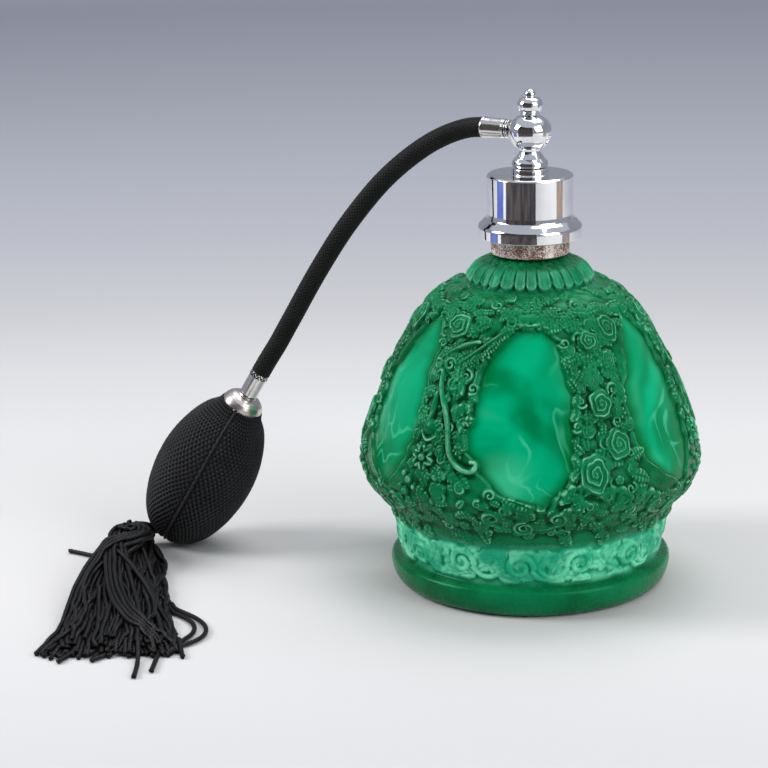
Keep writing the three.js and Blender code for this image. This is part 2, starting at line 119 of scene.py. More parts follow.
def make_mesh(name, points, quads, polygons=()):
    """An object from points in mm, quads as an array of indices, and any other faces as lists."""
    points = np.asarray(points, float)
    quads = np.asarray(quads, int).reshape(-1, 4)
    a, b, c, d = (points[quads[:, k]] for k in range(4))
    volume = np.einsum("ij,ij->i", a, np.cross(b, c)).sum() + np.einsum("ij,ij->i", a, np.cross(c, d)).sum()
    if volume < 0:
        quads = quads[:, ::-1]
        polygons = [list(p)[::-1] for p in polygons]
    corners = np.concatenate([quads.ravel(), *[np.array(p) for p in polygons]]).astype(int)
    sizes = np.concatenate([np.full(len(quads), 4), np.array([len(p) for p in polygons], int)]).astype(int)
    starts = np.concatenate([[0], np.cumsum(sizes)[:-1]])
    mesh = bpy.data.meshes.new(name)
    mesh.vertices.add(len(points))
    mesh.vertices.foreach_set("co", (points * MM).astype(np.float32).ravel())
    mesh.loops.add(len(corners))
    mesh.loops.foreach_set("vertex_index", corners.astype(np.int32))
    mesh.polygons.add(len(sizes))
    mesh.polygons.foreach_set("loop_start", starts.astype(np.int32))
    mesh.update(calc_edges=True)
    mesh.shade_smooth()
    obj = bpy.data.objects.new(name, mesh)
    bpy.context.scene.collection.objects.link(obj)
    return obj


def ring_quads(rows, columns, close_rows=False, start=0):
    """Quads between rings of points; the rings close, and the last may join the first."""
    i = np.arange(rows if close_rows else rows - 1)[:, None]
    j = np.arange(columns)[None, :]
    k = (j + 1) % columns
    below = (i % rows) * columns
    above = ((i + 1) % rows) * columns
    quads = np.stack([below + j, below + k, above + k, above + j], -1)
    return start + quads.reshape(-1, 4)


def set_attribute(obj, name, values):
    attribute = obj.data.attributes.new(name, "FLOAT", "POINT")
    attribute.data.foreach_set("value", np.asarray(values, np.float32).ravel())


def rounded(points, close=False, steps=5):
    """An outline of (r, h) or (r, h, fillet radius) points, with its corners turned into arcs."""
    corners = [(p[0], p[1], p[2] if len(p) > 2 else 0) for p in points]
    out = []
    for i, (r, h, fillet) in enumerate(corners):
        here = np.array([r, h], float)
        at_end = not close and i in (0, len(corners) - 1)
        if fillet == 0 or at_end:
            out.append(here)
            continue
        before = np.array(corners[i - 1][:2], float) - here
        after = np.array(corners[(i + 1) % len(corners)][:2], float) - here
        u, v = unit(before), unit(after)
        half = math.acos(np.clip(u @ v, -1, 1)) / 2
        reach = min(fillet / math.tan(half), 0.48 * np.linalg.norm(before), 0.48 * np.linalg.norm(after))
        radius = reach * math.tan(half)
        centre = here + unit(u + v) * radius / math.sin(half)
        a, b = here + u * reach - centre, here + v * reach - centre
        sweep = math.atan2(a[0] * b[1] - a[1] * b[0], a @ b)
        for k in range(steps + 1):
            t = sweep * k / steps
            turn = np.array([[math.cos(t), -math.sin(t)], [math.sin(t), math.cos(t)]])
            out.append(centre + turn @ a)
    return np.array(out)


def arc(centre_h, radius, from_h, to_h, steps=14, rise=None):
    """Points on the outline of a ball, or of an oval with this rise, between two heights."""
    rise = radius if rise is None else rise
    a0 = math.asin(np.clip((from_h - centre_h) / rise, -1, 1))
    a1 = math.asin(np.clip((to_h - centre_h) / rise, -1, 1))
    angles = np.linspace(a0, a1, steps + 1)
    return [(radius * math.cos(a), centre_h + rise * math.sin(a)) for a in angles]


def refined(outline, longest, close=False):
    """The outline with extra points, so that no step is longer than this."""
    ends = np.roll(outline, -1, 0) if close else outline[1:]
    starts = outline if close else outline[:-1]
    out = []
    for a, b in zip(starts, ends):
        count = max(1, math.ceil(np.linalg.norm(b - a) / longest))
        out += [a + (b - a) * k / count for k in range(count)]
    if not close:
        out.append(outline[-1])
    return np.array(out)


class Axis:
    """A line that pieces are turned about: height runs along it from its origin."""

    def __init__(self, origin, along, across=None):
        self.origin = np.array(origin, float)
        self.along = unit(along)
        if across is None:
            across = np.eye(3)[int(np.argmin(np.abs(self.along)))]
        helper = np.array(across, float)
        self.x = unit(helper - (helper @ self.along) * self.along)
        self.y = np.cross(self.along, self.x)

    def points(self, radius, angle, height):
        radius, angle, height = np.broadcast_arrays(radius, angle, height)
        return (self.origin + (radius * np.cos(angle))[..., None] * self.x
                + (radius * np.sin(angle))[..., None] * self.y + height[..., None] * self.along)


UPRIGHT = Axis((0, 0, 0), (0, 0, 1), (1, 0, 0))


def lathe(name, axis, outline, segments=96, close=False, shape=None):
    """A turned mesh. An open outline starts and ends on the axis; shape(angle, r, h) moves r."""
    outline = np.asarray(outline, float)
    angle = np.linspace(0, 2 * np.pi, segments, endpoint=False)
    caps = []
    if not close:
        low, high = outline[0], outline[-1]
        outline = outline[1:-1]
    radius = np.repeat(outline[:, :1], segments, 1)
    height = np.repeat(outline[:, 1:], segments, 1)
    if shape is not None:
        radius = radius + shape(angle[None, :], radius, height)
    points = axis.points(radius, angle[None, :], height).reshape(-1, 3)
    quads = ring_quads(len(outline), segments, close)
    if not close:
        first, last = len(points), len(points) + 1
        points = np.vstack([points, axis.points(0.0, 0.0, low[1]), axis.points(0.0, 0.0, high[1])])
        top = (len(outline) - 1) * segments
        for j in range(segments):
            k = (j + 1) % segments
            caps.append([first, k, j])
            caps.append([last, top + j, top + k])
    obj = make_mesh(name, points, quads, caps)
    weigh_normals(obj)
    return obj


def weigh_normals(obj):
    """Shading normals weighted by face area, so that flats stay flat up to their rounded edges."""
    mesh = obj.data
    total = np.zeros((len(mesh.vertices), 3))
    for face in mesh.polygons:
        total[list(face.vertices)] += np.array(face.normal) * face.area
    total /= np.maximum(np.linalg.norm(total, axis=1, keepdims=True), 1e-12)
    mesh.normals_split_custom_set_from_vertices(total)


def finish_piece(obj, body, slot, *nodes, look=None):
    """Gives a piece its body, its look (its slot's own unless named) and the nodes it stands for."""
    obj.data.materials.clear()
    obj.data.materials.append(LOOKS[look or slot])
    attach(obj, body)
    if nodes:
        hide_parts(*nodes)


def turned(name, axis, points, body, slot, node,
           step=None, segments=96, fillet_steps=5, look=None, shape=None):
    """A turned piece that stands for a node, from a closed outline of (r, h, fillet radius) points."""
    outline = rounded(points, close=True, steps=fillet_steps)
    if step is not None:
        outline = refined(outline, step, close=True)
    obj = lathe(name, axis, outline, segments, close=True, shape=shape)
    finish_piece(obj, body, slot, node, look=look)


# ---- material helpers ------------------------------------------------------------------------------------

class Look:
    """A material's nodes. Lower-case settings are a node's own, and capitalised ones are its inputs."""

    def __init__(self, name, **principled):
        self.material = bpy.data.materials.new(name)
        self.material.use_nodes = True
        self.tree = self.material.node_tree
        self.shader = self.tree.nodes["Principled BSDF"]
        for key, value in principled.items():
            self.shader.inputs[key.replace("_", " ")].default_value = value
        self.place = self.add("TexCoord").outputs["Object"]

    def add(self, kind, **settings):
        node = self.tree.nodes.new("ShaderNode" + kind)
        for key, value in settings.items():
            if key[0].islower():
                setattr(node, key, value)
                continue
            socket = node.inputs[int(key[1:])] if key[0] == "I" and key[1:].isdigit() else node.inputs[key]
            if hasattr(value, "is_linked"):
                self.tree.links.new(value, socket)
            else:
                socket.default_value = value
        return node

    def noise(self, scale, detail=3.0, roughness=0.55, distortion=0.0, vector=None):
        node = self.add("TexNoise", Vector=vector or self.place, Scale=scale, Detail=detail,
                        Roughness=roughness, Distortion=distortion)
        return node.outputs["Fac"]

    def attribute(self, name):
        return self.add("Attribute", attribute_name=name).outputs["Fac"]

    def math(self, operation, a, b=0.0, clamp=False):
        return self.add("Math", operation=operation, use_clamp=clamp, I0=a, I1=b).outputs[0]

    def span(self, value, low, high, to_low=0.0, to_high=1.0):
        node = self.add("MapRange", interpolation_type="SMOOTHSTEP", Value=value)
        for key, number in (("From Min", low), ("From Max", high), ("To Min", to_low), ("To Max", to_high)):
            node.inputs[key].default_value = number
        return node.outputs[0]

    def mix(self, share, a, b):
        node = self.add("Mix", data_type="RGBA")
        for socket, value in ((node.inputs[0], share), (node.inputs[6], a), (node.inputs[7], b)):
            if hasattr(value, "is_linked"):
                self.tree.links.new(value, socket)
            elif isinstance(value, tuple):
                socket.default_value = (*value, 1)
            else:
                socket.default_value = value
        return node.outputs[2]

    def blend_number(self, share, a, b):
        return self.add("Mix", data_type="FLOAT", I0=share, I2=a, I3=b).outputs[0]

    def times(self, a, b):
        return self.math("MULTIPLY", a, b)

    def ramp(self, value, stops):
        node = self.add("ValToRGB", Fac=value)
        elements = node.color_ramp.elements
        while len(elements) < len(stops):
            elements.new(0.5)
        for element, (at, color) in zip(elements, stops):
            element.position = at
            element.color = (*color, 1)
        return node.outputs[0]

    def bump(self, height, distance, strength, under=None):
        node = self.add("Bump", Height=height, Distance=distance, Strength=strength)
        if under is not None:
            self.tree.links.new(under, node.inputs["Normal"])
        return node.outputs[0]

    def set(self, **inputs):
        for key, value in inputs.items():
            socket = self.shader.inputs[key.replace("_", " ")]
            if hasattr(value, "is_linked"):
                self.tree.links.new(value, socket)
            else:
                socket.default_value = value
        return self.material


# ---- materials -------------------------------------------------------------------------------------------

def marbled(look):
    """Colour of the polished panels: soft clouds, pale folded streaks, milky patches and dark edges."""
    warp = look.add("TexNoise", Vector=look.place, Scale=26, Detail=2).outputs["Color"]
    moved = look.add("VectorMath", operation="SCALE", I0=warp, Scale=0.030).outputs[0]
    swirl_place = look.add("VectorMath", operation="ADD", I0=look.place, I1=moved).outputs[0]
    folds = look.noise(40, 2.0, 0.4, 1.2, swirl_place)
    clouds = look.noise(26, 2.0, 0.5, 1.2)
    streak = look.span(look.math("ABSOLUTE", look.math("SUBTRACT", folds, 0.5)), 0.030, 0.0)
    some = look.span(look.noise(45, 1.0), 0.44, 0.60)
    color = look.mix(look.span(clouds, 0.36, 0.64), (0.0, 0.185, 0.060), (0.0, 0.375, 0.170))
    color = look.mix(look.times(look.times(streak, some), 0.62), color, (0.06, 0.52, 0.29))
    milk = look.span(look.noise(21, 2.0, 0.5, 0.8), 0.55, 0.70)
    color = look.mix(look.times(milk, 0.36), color, (0.10, 0.58, 0.33))
    depth_in = look.math("ADD", look.attribute("inside"), look.times(clouds, 4.0))
    edge = look.span(depth_in, 8.4, 2.6)
    return look.mix(look.times(edge, 0.92), color, (0.0, 0.135, 0.026))


def carved_color(look):
    """Colour of the relief: painted shade in the hollows, fine rims made paler partly by wear and partly by a
    painted highlight, and the milky glass of the pedestal, with painted shade in its hollows too.
    """
    hollow = look.attribute("hollow")
    color = look.mix(look.span(look.noise(60, 3), 0.35, 0.65), (0.001, 0.104, 0.028), (0.003, 0.180, 0.062))
    # Painted shade: the relief's hollows are darkened towards a deep green.
    color = look.mix(look.span(hollow, 0.05, -0.42), color, (0.0, 0.036, 0.007))
    # Painted highlight and wear: the crests are lightened towards a pale green, in patches.
    wear_and_highlight_patches = look.span(look.noise(300, 4), 0.25, 0.62)
    rim = look.times(look.span(look.attribute("crest"), 0.07, 0.26), wear_and_highlight_patches)
    color = look.mix(look.times(rim, 0.85), color, (0.19, 0.51, 0.31))
    patches = look.span(look.noise(70, 3, 0.6, 1.0), 0.38, 0.60)
    blotch = look.mix(patches, (0.020, 0.38, 0.20), (0.17, 0.70, 0.42))
    # Painted shade: the pedestal's hollows are darkened as well.
    milky_glass_and_shade = look.mix(look.span(hollow, 0.15, -0.35), blotch, (0.008, 0.30, 0.145))
    return look.mix(look.attribute("pale"), color, milky_glass_and_shade)


def green_glass():
    """Opaque pressed glass: marbled polished panels among a duller carved relief."""
    look = Look("green_glass", IOR=1.5, Specular_IOR_Level=0.24, Specular_Tint=(0.15, 0.9, 0.55, 1.0))
    panel = look.attribute("panel")
    color = look.mix(panel, carved_color(look), marbled(look))
    grain = look.noise(900, 4, 0.6)
    roughness = look.blend_number(panel, look.span(grain, 0.3, 0.7, 0.22, 0.32), 0.16)
    ripple = look.bump(look.noise(55, 2), 0.0010, 0.2, look.bump(grain, 0.00008, 0.15))
    return look.set(Base_Color=color, Roughness=roughness, Normal=ripple, Subsurface_Weight=0.18,
                    Subsurface_Radius=(0.0008, 0.0032, 0.0020), Subsurface_Scale=1.0)


def chrome():
    """Mirror plating with faint wiping marks and a few dull freckles."""
    look = Look("chrome", Metallic=1.0)
    haze = look.noise(140, 5, 0.6)
    stretched = look.add("Mapping", Vector=look.place, Scale=(1, 1, 9)).outputs[0]
    wipes = look.noise(900, 3, 0.7, 0.0, stretched)
    freckles = look.span(look.noise(1500, 2), 0.70, 0.78)
    color = look.mix(look.span(haze, 0.35, 0.7), (0.80, 0.81, 0.83), (0.88, 0.885, 0.89))
    color = look.mix(look.times(freckles, 0.5), color, (0.35, 0.31, 0.28))
    roughness = look.math("ADD", look.span(wipes, 0.3, 0.8, 0.035, 0.085), look.times(freckles, 0.2))
    return look.set(Base_Color=color, Roughness=roughness, Normal=look.bump(haze, 0.00005, 0.3))


def stained_metal(name, stain_scale, stain_span, bright, dull, polish_span, mark_noise, mark_bump):
    """Metal whose colour and polish follow a cloudy stain; polish_span is its range and roughness."""
    look = Look(name, Metallic=1.0)
    stain = look.noise(stain_scale, 4, 0.6)
    color = look.mix(look.span(stain, *stain_span), bright, dull)
    marks = look.noise(*mark_noise)
    return look.set(Base_Color=color, Roughness=look.span(stain, *polish_span),
                    Normal=look.bump(marks, *mark_bump))


def worn_plating():
    """Old plating on the neck ring, pitted through to brown brass."""
    look = Look("worn_plating")
    cells = look.noise(2100, 3, 0.62)
    patches = look.noise(260, 3, 0.6)
    bare = look.span(look.math("ADD", look.times(cells, 0.7), look.times(patches, 0.42)), 0.548, 0.590)
    plated = look.mix(look.span(look.noise(700, 3), 0.35, 0.7), (0.95, 0.86, 0.82), (0.74, 0.62, 0.57))
    brown = look.mix(look.span(look.noise(2200, 3), 0.4, 0.6), (0.11, 0.045, 0.025), (0.36, 0.20, 0.13))
    metal = look.math("SUBTRACT", 0.85, look.times(bare, 0.65))
    pits = look.math("SUBTRACT", 1.0, bare)
    return look.set(Base_Color=look.mix(bare, plated, brown), Roughness=look.blend_number(bare, 0.34, 0.75),
                    Metallic=metal, Normal=look.bump(pits, 0.00015, 0.6))


def steel():
    look = Look("steel", Metallic=1.0)
    stretched = look.add("Mapping", Vector=look.place, Scale=(6, 6, 0.6)).outputs[0]
    drawn = look.noise(500, 3, 0.6, 0.0, stretched)
    color = look.mix(look.span(drawn, 0.3, 0.7), (0.52, 0.54, 0.55), (0.64, 0.66, 0.67))
    return look.set(Base_Color=color, Roughness=look.span(drawn, 0.3, 0.7, 0.16, 0.30),
                    Normal=look.bump(drawn, 0.00004, 0.4))


def cork():
    look = Look("cork")
    cells = look.add("TexVoronoi", Vector=look.place, Scale=900).outputs["Distance"]
    specks = look.span(look.noise(330, 4, 0.65), 0.60, 0.72)
    color = look.mix(look.span(cells, 0.1, 0.6), (0.30, 0.16, 0.075), (0.47, 0.29, 0.15))
    color = look.mix(specks, color, (0.09, 0.045, 0.022))
    return look.set(Base_Color=color, Roughness=0.88, Normal=look.bump(cells, 0.0002, 0.6))


def plaster():
    look = Look("plaster")
    grit = look.noise(1300, 4, 0.65)
    color = look.mix(look.span(grit, 0.35, 0.7), (0.50, 0.45, 0.36), (0.70, 0.66, 0.56))
    return look.set(Base_Color=color, Roughness=0.92, Normal=look.bump(grit, 0.00025, 0.7))


def rubber():
    look = Look("rubber")
    bloom = look.noise(210, 4, 0.6)
    color = look.mix(look.span(bloom, 0.35, 0.75), (0.020, 0.017, 0.015), (0.055, 0.050, 0.046))
    return look.set(Base_Color=color, Roughness=look.span(bloom, 0.3, 0.8, 0.62, 0.82),
                    Normal=look.bump(look.noise(1100, 3), 0.0001, 0.5))


def black_thread(name, low, high, roughness, sheen, gloss):
    """Black textile yarn: fine fibres, uneven dye, a soft shader sheen, and a painted highlight that colours
    the crowns of the stitches lighter.
    """
    look = Look(name, Sheen_Weight=sheen, Sheen_Roughness=0.45, Specular_IOR_Level=gloss)
    fibre = look.noise(2600, 3, 0.6)
    faded = look.times(look.span(look.noise(120, 3), 0.35, 0.7), 0.4)
    # Painted highlight: the crowns (crest) take the lighter colour high, the valleys the darker colour low.
    color = look.mix(look.span(look.attribute("crest"), 0.35, 1.0), low, high)
    color = look.mix(faded, color, tuple(0.5 * c for c in low))
    return look.set(Base_Color=color, Roughness=look.span(fibre, 0.3, 0.7, roughness - 0.1, roughness + 0.12),
                    Normal=look.bump(fibre, 0.00008, 0.5))


LOOKS = {
    "green_glass": green_glass(),
    "chrome": chrome(),
    "nickel": stained_metal("nickel", 120, (0.35, 0.75), (0.78, 0.765, 0.745), (0.62, 0.60, 0.57),
                            (0.3, 0.7, 0.13, 0.22), (1500, 2, 0.5), (0.00002, 0.2)),
    "satin_nickel": stained_metal("satin_nickel", 190, (0.35, 0.75), (0.66, 0.60, 0.57), (0.50, 0.44, 0.41),
                                  (0.3, 0.8, 0.27, 0.36), (1200, 3, 0.6), (0.00003, 0.3)),
    "worn_plating": worn_plating(),
    "brass": stained_metal("brass", 240, (0.4, 0.7), (0.60, 0.42, 0.17), (0.33, 0.23, 0.09),
                           (0.3, 0.8, 0.24, 0.46), (1500, 3), (0.00005, 0.4)),
    "steel": steel(),
    "cork": cork(),
    "plaster": plaster(),
    "rubber": rubber(),
    # The second colour of each black thread is the painted highlight on its crowns.
    "black_braid": black_thread("black_braid", (0.0012, 0.0012, 0.0014), (0.014, 0.014, 0.014),
                                0.52, 0.01, 0.16),
    "black_knit": black_thread("black_knit", (0.0014, 0.0015, 0.0018), (0.022, 0.023, 0.026),
                               0.55, 0.05, 0.24),
    "black_rayon": black_thread("black_rayon", (0.0006, 0.0006, 0.0008), (0.015, 0.014, 0.0155),
                                0.44, 0.01, 0.22),
}


# ---- hose ------------------------------------------------------------------------------------------------

# The hose's centre line, as the CAD model lays it, in metres
HOSE_ROUTE = [
    (-0.01655, 0.0, 0.1455),
    (-0.0204, -0.0001, 0.1451),
    (-0.0248, -0.0007, 0.1439),
    (-0.0323, -0.0024, 0.1404),
    (-0.0405, -0.0050, 0.13445),
    (-0.0479, -0.0075, 0.1274),
    (-0.0545, -0.0096, 0.1194),
    (-0.0608, -0.0114, 0.1107),
    (-0.0667, -0.0128, 0.1014),
    (-0.0725, -0.01395, 0.0916),
    (-0.07805, -0.0151, 0.08155),
    (-0.0808, -0.01565, 0.07665),
    (-0.0835, -0.01625, 0.0718),
    (-0.0868, -0.01715, 0.06635),
    (-0.08926, -0.01773, 0.06211),
]
HOSE_R = 3.2
HOSE_TUCK = 2.0
HOSE_STEP = 0.16
BRAID_CARRIERS = 16
BRAID_PITCH = 1.3
BRAID_COLUMNS = 128
BRAID_HEIGHT = 0.34


def spline(points, step):
    """Evenly spaced points on a natural cubic spline through the given ones, by length along them."""
    points = np.asarray(points, float)
    t = np.concatenate([[0], np.cumsum(np.linalg.norm(np.diff(points, axis=0), axis=1))])
    n = len(points)
    gap = np.diff(t)
    system = np.eye(n)
    right = np.zeros_like(points)
    for i in range(1, n - 1):
        system[i, i - 1:i + 2] = gap[i - 1], 2 * (gap[i - 1] + gap[i]), gap[i]
        right[i] = 6 * ((points[i + 1] - points[i]) / gap[i] - (points[i] - points[i - 1]) / gap[i - 1])
    bend = np.linalg.solve(system, right)
    fine = np.linspace(0, t[-1], max(2, int(t[-1] / step)) * 3)
    k = np.clip(np.searchsorted(t, fine, side="right") - 1, 0, n - 2)
    h = gap[k][:, None]
    a = (t[k + 1] - fine)[:, None]
    b = (fine - t[k])[:, None]
    curve = (bend[k] * a ** 3 / (6 * h) + bend[k + 1] * b ** 3 / (6 * h)
             + (points[k] / h - bend[k] * h / 6) * a + (points[k + 1] / h - bend[k + 1] * h / 6) * b)
    length = np.concatenate([[0], np.cumsum(np.linalg.norm(np.diff(curve, axis=0), axis=1))])
    even = np.linspace(0, length[-1], max(2, round(length[-1] / step) + 1))
    return np.stack([np.interp(even, length, curve[:, k]) for k in range(points.shape[1])], 1)


def frames_along(curve):
    """Directions across a curve that turn as little as possible along it."""
    along = np.gradient(curve, axis=0)
    along /= np.linalg.norm(along, axis=1, keepdims=True)
    x = np.zeros_like(along)
    side = np.eye(3)[int(np.argmin(np.abs(along[0])))]
    for i, direction in enumerate(along):
        side = side - (side @ direction) * direction
        side /= np.linalg.norm(side)
        x[i] = side
    return x, np.cross(along, x)


def braid_height(angle, length):
    """Height from 0 to 1 of a two-over, two-under braid at an angle and a length along the hose."""
    right = angle * BRAID_CARRIERS / (2 * np.pi) + length / BRAID_PITCH
    left = angle * BRAID_CARRIERS / (2 * np.pi) - length / BRAID_PITCH
    i, j = np.floor(right), np.floor(left)
    across_right = 2 * (right - i) - 1
    across_left = 2 * (left - j) - 1
    over = ((i + j) % 4) < 2
    crown_right = np.sqrt(np.clip(1 - (across_right / 0.96) ** 2, 0, 1))
    crown_left = np.sqrt(np.clip(1 - (across_left / 0.96) ** 2, 0, 1))
    dip_right = 0.35 + 0.65 * np.cos(across_left * np.pi / 3)
    dip_left = 0.35 + 0.65 * np.cos(across_right * np.pi / 3)
    top = np.where(over, crown_right * dip_right, crown_left * dip_left)
    under = 0.35 * np.where(over, crown_left, crown_right)
    return np.maximum(top, under)


def braided_hose():
    route = np.array(HOSE_ROUTE) / MM
    start = route[0] + unit(route[0] - route[1]) * HOSE_TUCK
    end = route[-1] + unit(route[-1] - route[-2]) * HOSE_TUCK
    centre = spline([start, *route, end], HOSE_STEP)
    x, y = frames_along(centre)
    length = np.arange(len(centre)) * HOSE_STEP
    angle = np.linspace(0, 2 * np.pi, BRAID_COLUMNS, endpoint=False)
    height = braid_height(angle[None, :], length[:, None])
    radius = HOSE_R - BRAID_HEIGHT + BRAID_HEIGHT * height
    points = (centre[:, None] + (radius * np.cos(angle))[..., None] * x[:, None]
              + (radius * np.sin(angle))[..., None] * y[:, None])
    rows = len(centre)
    caps = [range(BRAID_COLUMNS)[::-1], range((rows - 1) * BRAID_COLUMNS, rows * BRAID_COLUMNS)]
    obj = make_mesh("hose_braid", points.reshape(-1, 3), ring_quads(rows, BRAID_COLUMNS), caps)
    set_attribute(obj, "crest", height)
    finish_piece(obj, "bulb", "black_braid", "braided_hose")


braided_hose()


# ---- carved glass bottle ---------------------------------------------------------------------------------

# Outline of the glass, radius against height, from the foot's edge to the neck
GLASS_OUTLINE = [
    (39.6, 0), (41.6, 0.5), (43.2, 1.8), (44.4, 4.2), (44.9, 6.6), (44.8, 8.2), (44.2, 9.1), (42.9, 9.6),
    (41.7, 10.4), (41.3, 11.6), (41.6, 13.5), (42.2, 16), (42.6, 18.5),
    (42.8, 20.5), (43.0, 22), (43.8, 23.6),
    (45.6, 25.8), (48.9, 29.2), (52.2, 33.4), (54.4, 37.2), (55.2, 41), (54.8, 44.6), (53.8, 48.6), (52, 54),
    (49, 62.5), (45.8, 71), (41.8, 79), (37.6, 86.2), (34, 91.4), (30.4, 94.9), (26.4, 97.0), (22.8, 98.0),
    (20.9, 98.5), (20.2, 99.6), (18.9, 102.0), (17, 104.2), (14.6, 105.7), (12.4, 106.5), (9.6, 106.7),
]
# Edges of the two kinds of panel: height, then degrees to the left and the right edge
FRONT_PANEL = [
    (37.5, 8, 9.5), (40, 4.5, 11.5), (43.2, -7, 14), (46.5, -10, 17), (49.5, -13.5, 19), (52.5, -16, 20.8),
    (56, -20.5, 21), (60, -21.5, 20.8), (66, -19.8, 22), (71, -19.2, 23), (76, -19.2, 22.3), (80, -17.5, 21),
    (84.5, -14.8, 20.4), (87.3, -12.5, 20.2), (88.7, -9, 16.5), (90.8, -5, 13), (91.6, 0, 10),
]
SIDE_PANEL = [
    (38.5, 5, 8), (41, 1, 10), (44, -4, 12), (48, -9, 14.5), (52, -13.5, 16.8), (57, -15.5, 18.3),
    (62, -16, 19), (68, -16.8, 19), (73, -14.8, 17.4), (78, -10.5, 16.8), (82.5, -7.5, 17), (86, -5, 15.8),
    (89, -2.5, 12.5), (91.5, 0.5, 9), (94, 3, 7),
]
PANEL_FIRST_DEG = -69
PATTERN_DEG = 120
PATTERN_REPEATS = 3
GLASS_COLUMNS = 1080
GLASS_ROW_MM = 0.34
FIELD_ROW_MM = 0.16
FIELD_COLUMNS = 1440
PANEL_SINK = 0.5
RELIEF_SINK = 1.9
NECK_GLASS_R = 9.6
NECK_BORE_R = 8.7
COARSE_COLUMNS = 90
DAB_STEP = 0.22


class Relief:
    """Height in mm of the carving over one repeat, in rows of arc length and columns of angle."""

    def __init__(self):
        points = spline(GLASS_OUTLINE, FIELD_ROW_MM)
        self.r = points[:, 0]
        self.z = points[:, 1]
        self.s = np.arange(len(points)) * FIELD_ROW_MM
        self.body = self.s > 30
        self.step_deg = PATTERN_DEG / FIELD_COLUMNS
        self.degrees = np.arange(FIELD_COLUMNS) * self.step_deg
        self.height = np.zeros((len(self.s), FIELD_COLUMNS))

    def at(self, z):
        """Arc length where the body passes height z."""
        return float(np.interp(z, self.z[self.body], self.s[self.body]))

    def window(self, deg, s, reach):
        low = max(0, int((s - reach) / FIELD_ROW_MM))
        high = min(len(self.s), int((s + reach) / FIELD_ROW_MM) + 2)
        radius = float(np.interp(s, self.s, self.r))
        half = int(math.degrees(reach / radius) / self.step_deg) + 2
        first = int(deg / self.step_deg) - half
        columns = np.arange(first, first + 2 * half + 1)
        rows = np.arange(low, high)
        x = np.radians(columns * self.step_deg - deg)[None, :] * self.r[rows][:, None]
        y = (self.s[rows] - s)[:, None] + np.zeros_like(x)
        return np.ix_(rows, columns % FIELD_COLUMNS), x, y

    def stamp(self, deg, s, reach, turn_deg, motif):
        """Raises the surface to a motif, which gives its height and outline in its own x and y."""
        patch, x, y = self.window(deg, s, reach)
        a = math.radians(turn_deg)
        value, inside = motif(x * math.cos(a) + y * math.sin(a), y * math.cos(a) - x * math.sin(a))
        self.height[patch] = np.where(inside, np.maximum(self.height[patch], value), self.height[patch])

    def stroke(self, places, radii, heights):
        """A round stem through places of (degrees, arc length); its radius and height may change along it."""
        share = np.linspace(0, 1, len(places))
        radius = np.interp(share, np.linspace(0, 1, len(radii)), radii)
        height = np.interp(share, np.linspace(0, 1, len(heights)), heights)
        for (deg, s), r, h in zip(places, radius, height):
            self.stamp(deg, s, r, 0, bead(r, h))

    def ridge(self, deg, s, points, radii, heights):
        """A stem along points in mm from (deg, s)."""
        start_r = float(np.interp(s, self.s, self.r))
        places = []
        for x, y in spline(points, DAB_STEP):
            here_r = float(np.interp(s + y, self.s, self.r))
            places.append((deg + math.degrees(2 * x / (here_r + start_r)), s + y))
        self.stroke(places, radii, heights)

    def stem(self, deg, points, radii, heights):
        """A stem through points given as a height and degrees off deg."""
        arcs = [self.at(z) for z, _ in points]
        middle_r = float(np.interp(np.mean(arcs), self.s, self.r))
        across = [math.radians(off) * middle_r for _, off in points]
        curve = spline(list(zip(across, arcs)), DAB_STEP)
        self.stroke([(deg + math.degrees(x / middle_r), s) for x, s in curve], radii, heights)


def rose(radius, height, phase=0.0, stretch=1.0):
    """An opened rose: rounded petals wound in a spiral that rises towards its rim and its heart."""
    def motif(x, y):
        y = y / stretch
        rho = np.hypot(x, y) / radius
        a = np.arctan2(y, x) + phase
        edge = rho / (0.95 + 0.05 * np.cos(5 * a) + 0.02 * np.cos(9 * a))
        turn = 3.0 * edge ** 0.85 + a / (2 * np.pi) + 0.09 * np.sin(3 * a)
        f = turn - np.floor(turn)
        petal = np.where(f < 0.8, (f / 0.8) ** 2.2, (1 - f) / 0.2)
        dome = np.sqrt(np.clip(1 - edge ** 2, 0, 1))
        value = 0.34 + 0.42 * dome + (0.20 + 0.26 * edge) * petal * smooth(1.02, 0.9, edge)
        return height * (value + 0.16 * np.exp(-(rho / 0.14) ** 2)), edge < 1
    return motif


def blossom(radius, height, phase=0.0, petals=5):
    """A flat flower with notched petals round a button."""
    def motif(x, y):
        rho = np.hypot(x, y) / radius
        lobe = np.abs(np.cos((np.arctan2(y, x) + phase) * petals / 2))
        edge = rho / (0.55 + 0.45 * lobe ** 0.7)
        cup = 0.35 + 0.65 * smooth(0.15, 0.85, edge)
        groove = 1 - 0.35 * np.exp(-((1 - lobe) / 0.12) ** 2)
        value = cup * (0.45 + 0.55 * smooth(1.0, 0.86, edge)) * groove
        button = 0.75 + 0.45 * np.sqrt(np.clip(1 - (rho / 0.27) ** 2, 0, 1))
        return height * np.where(rho < 0.27, button, value), edge < 1
    return motif


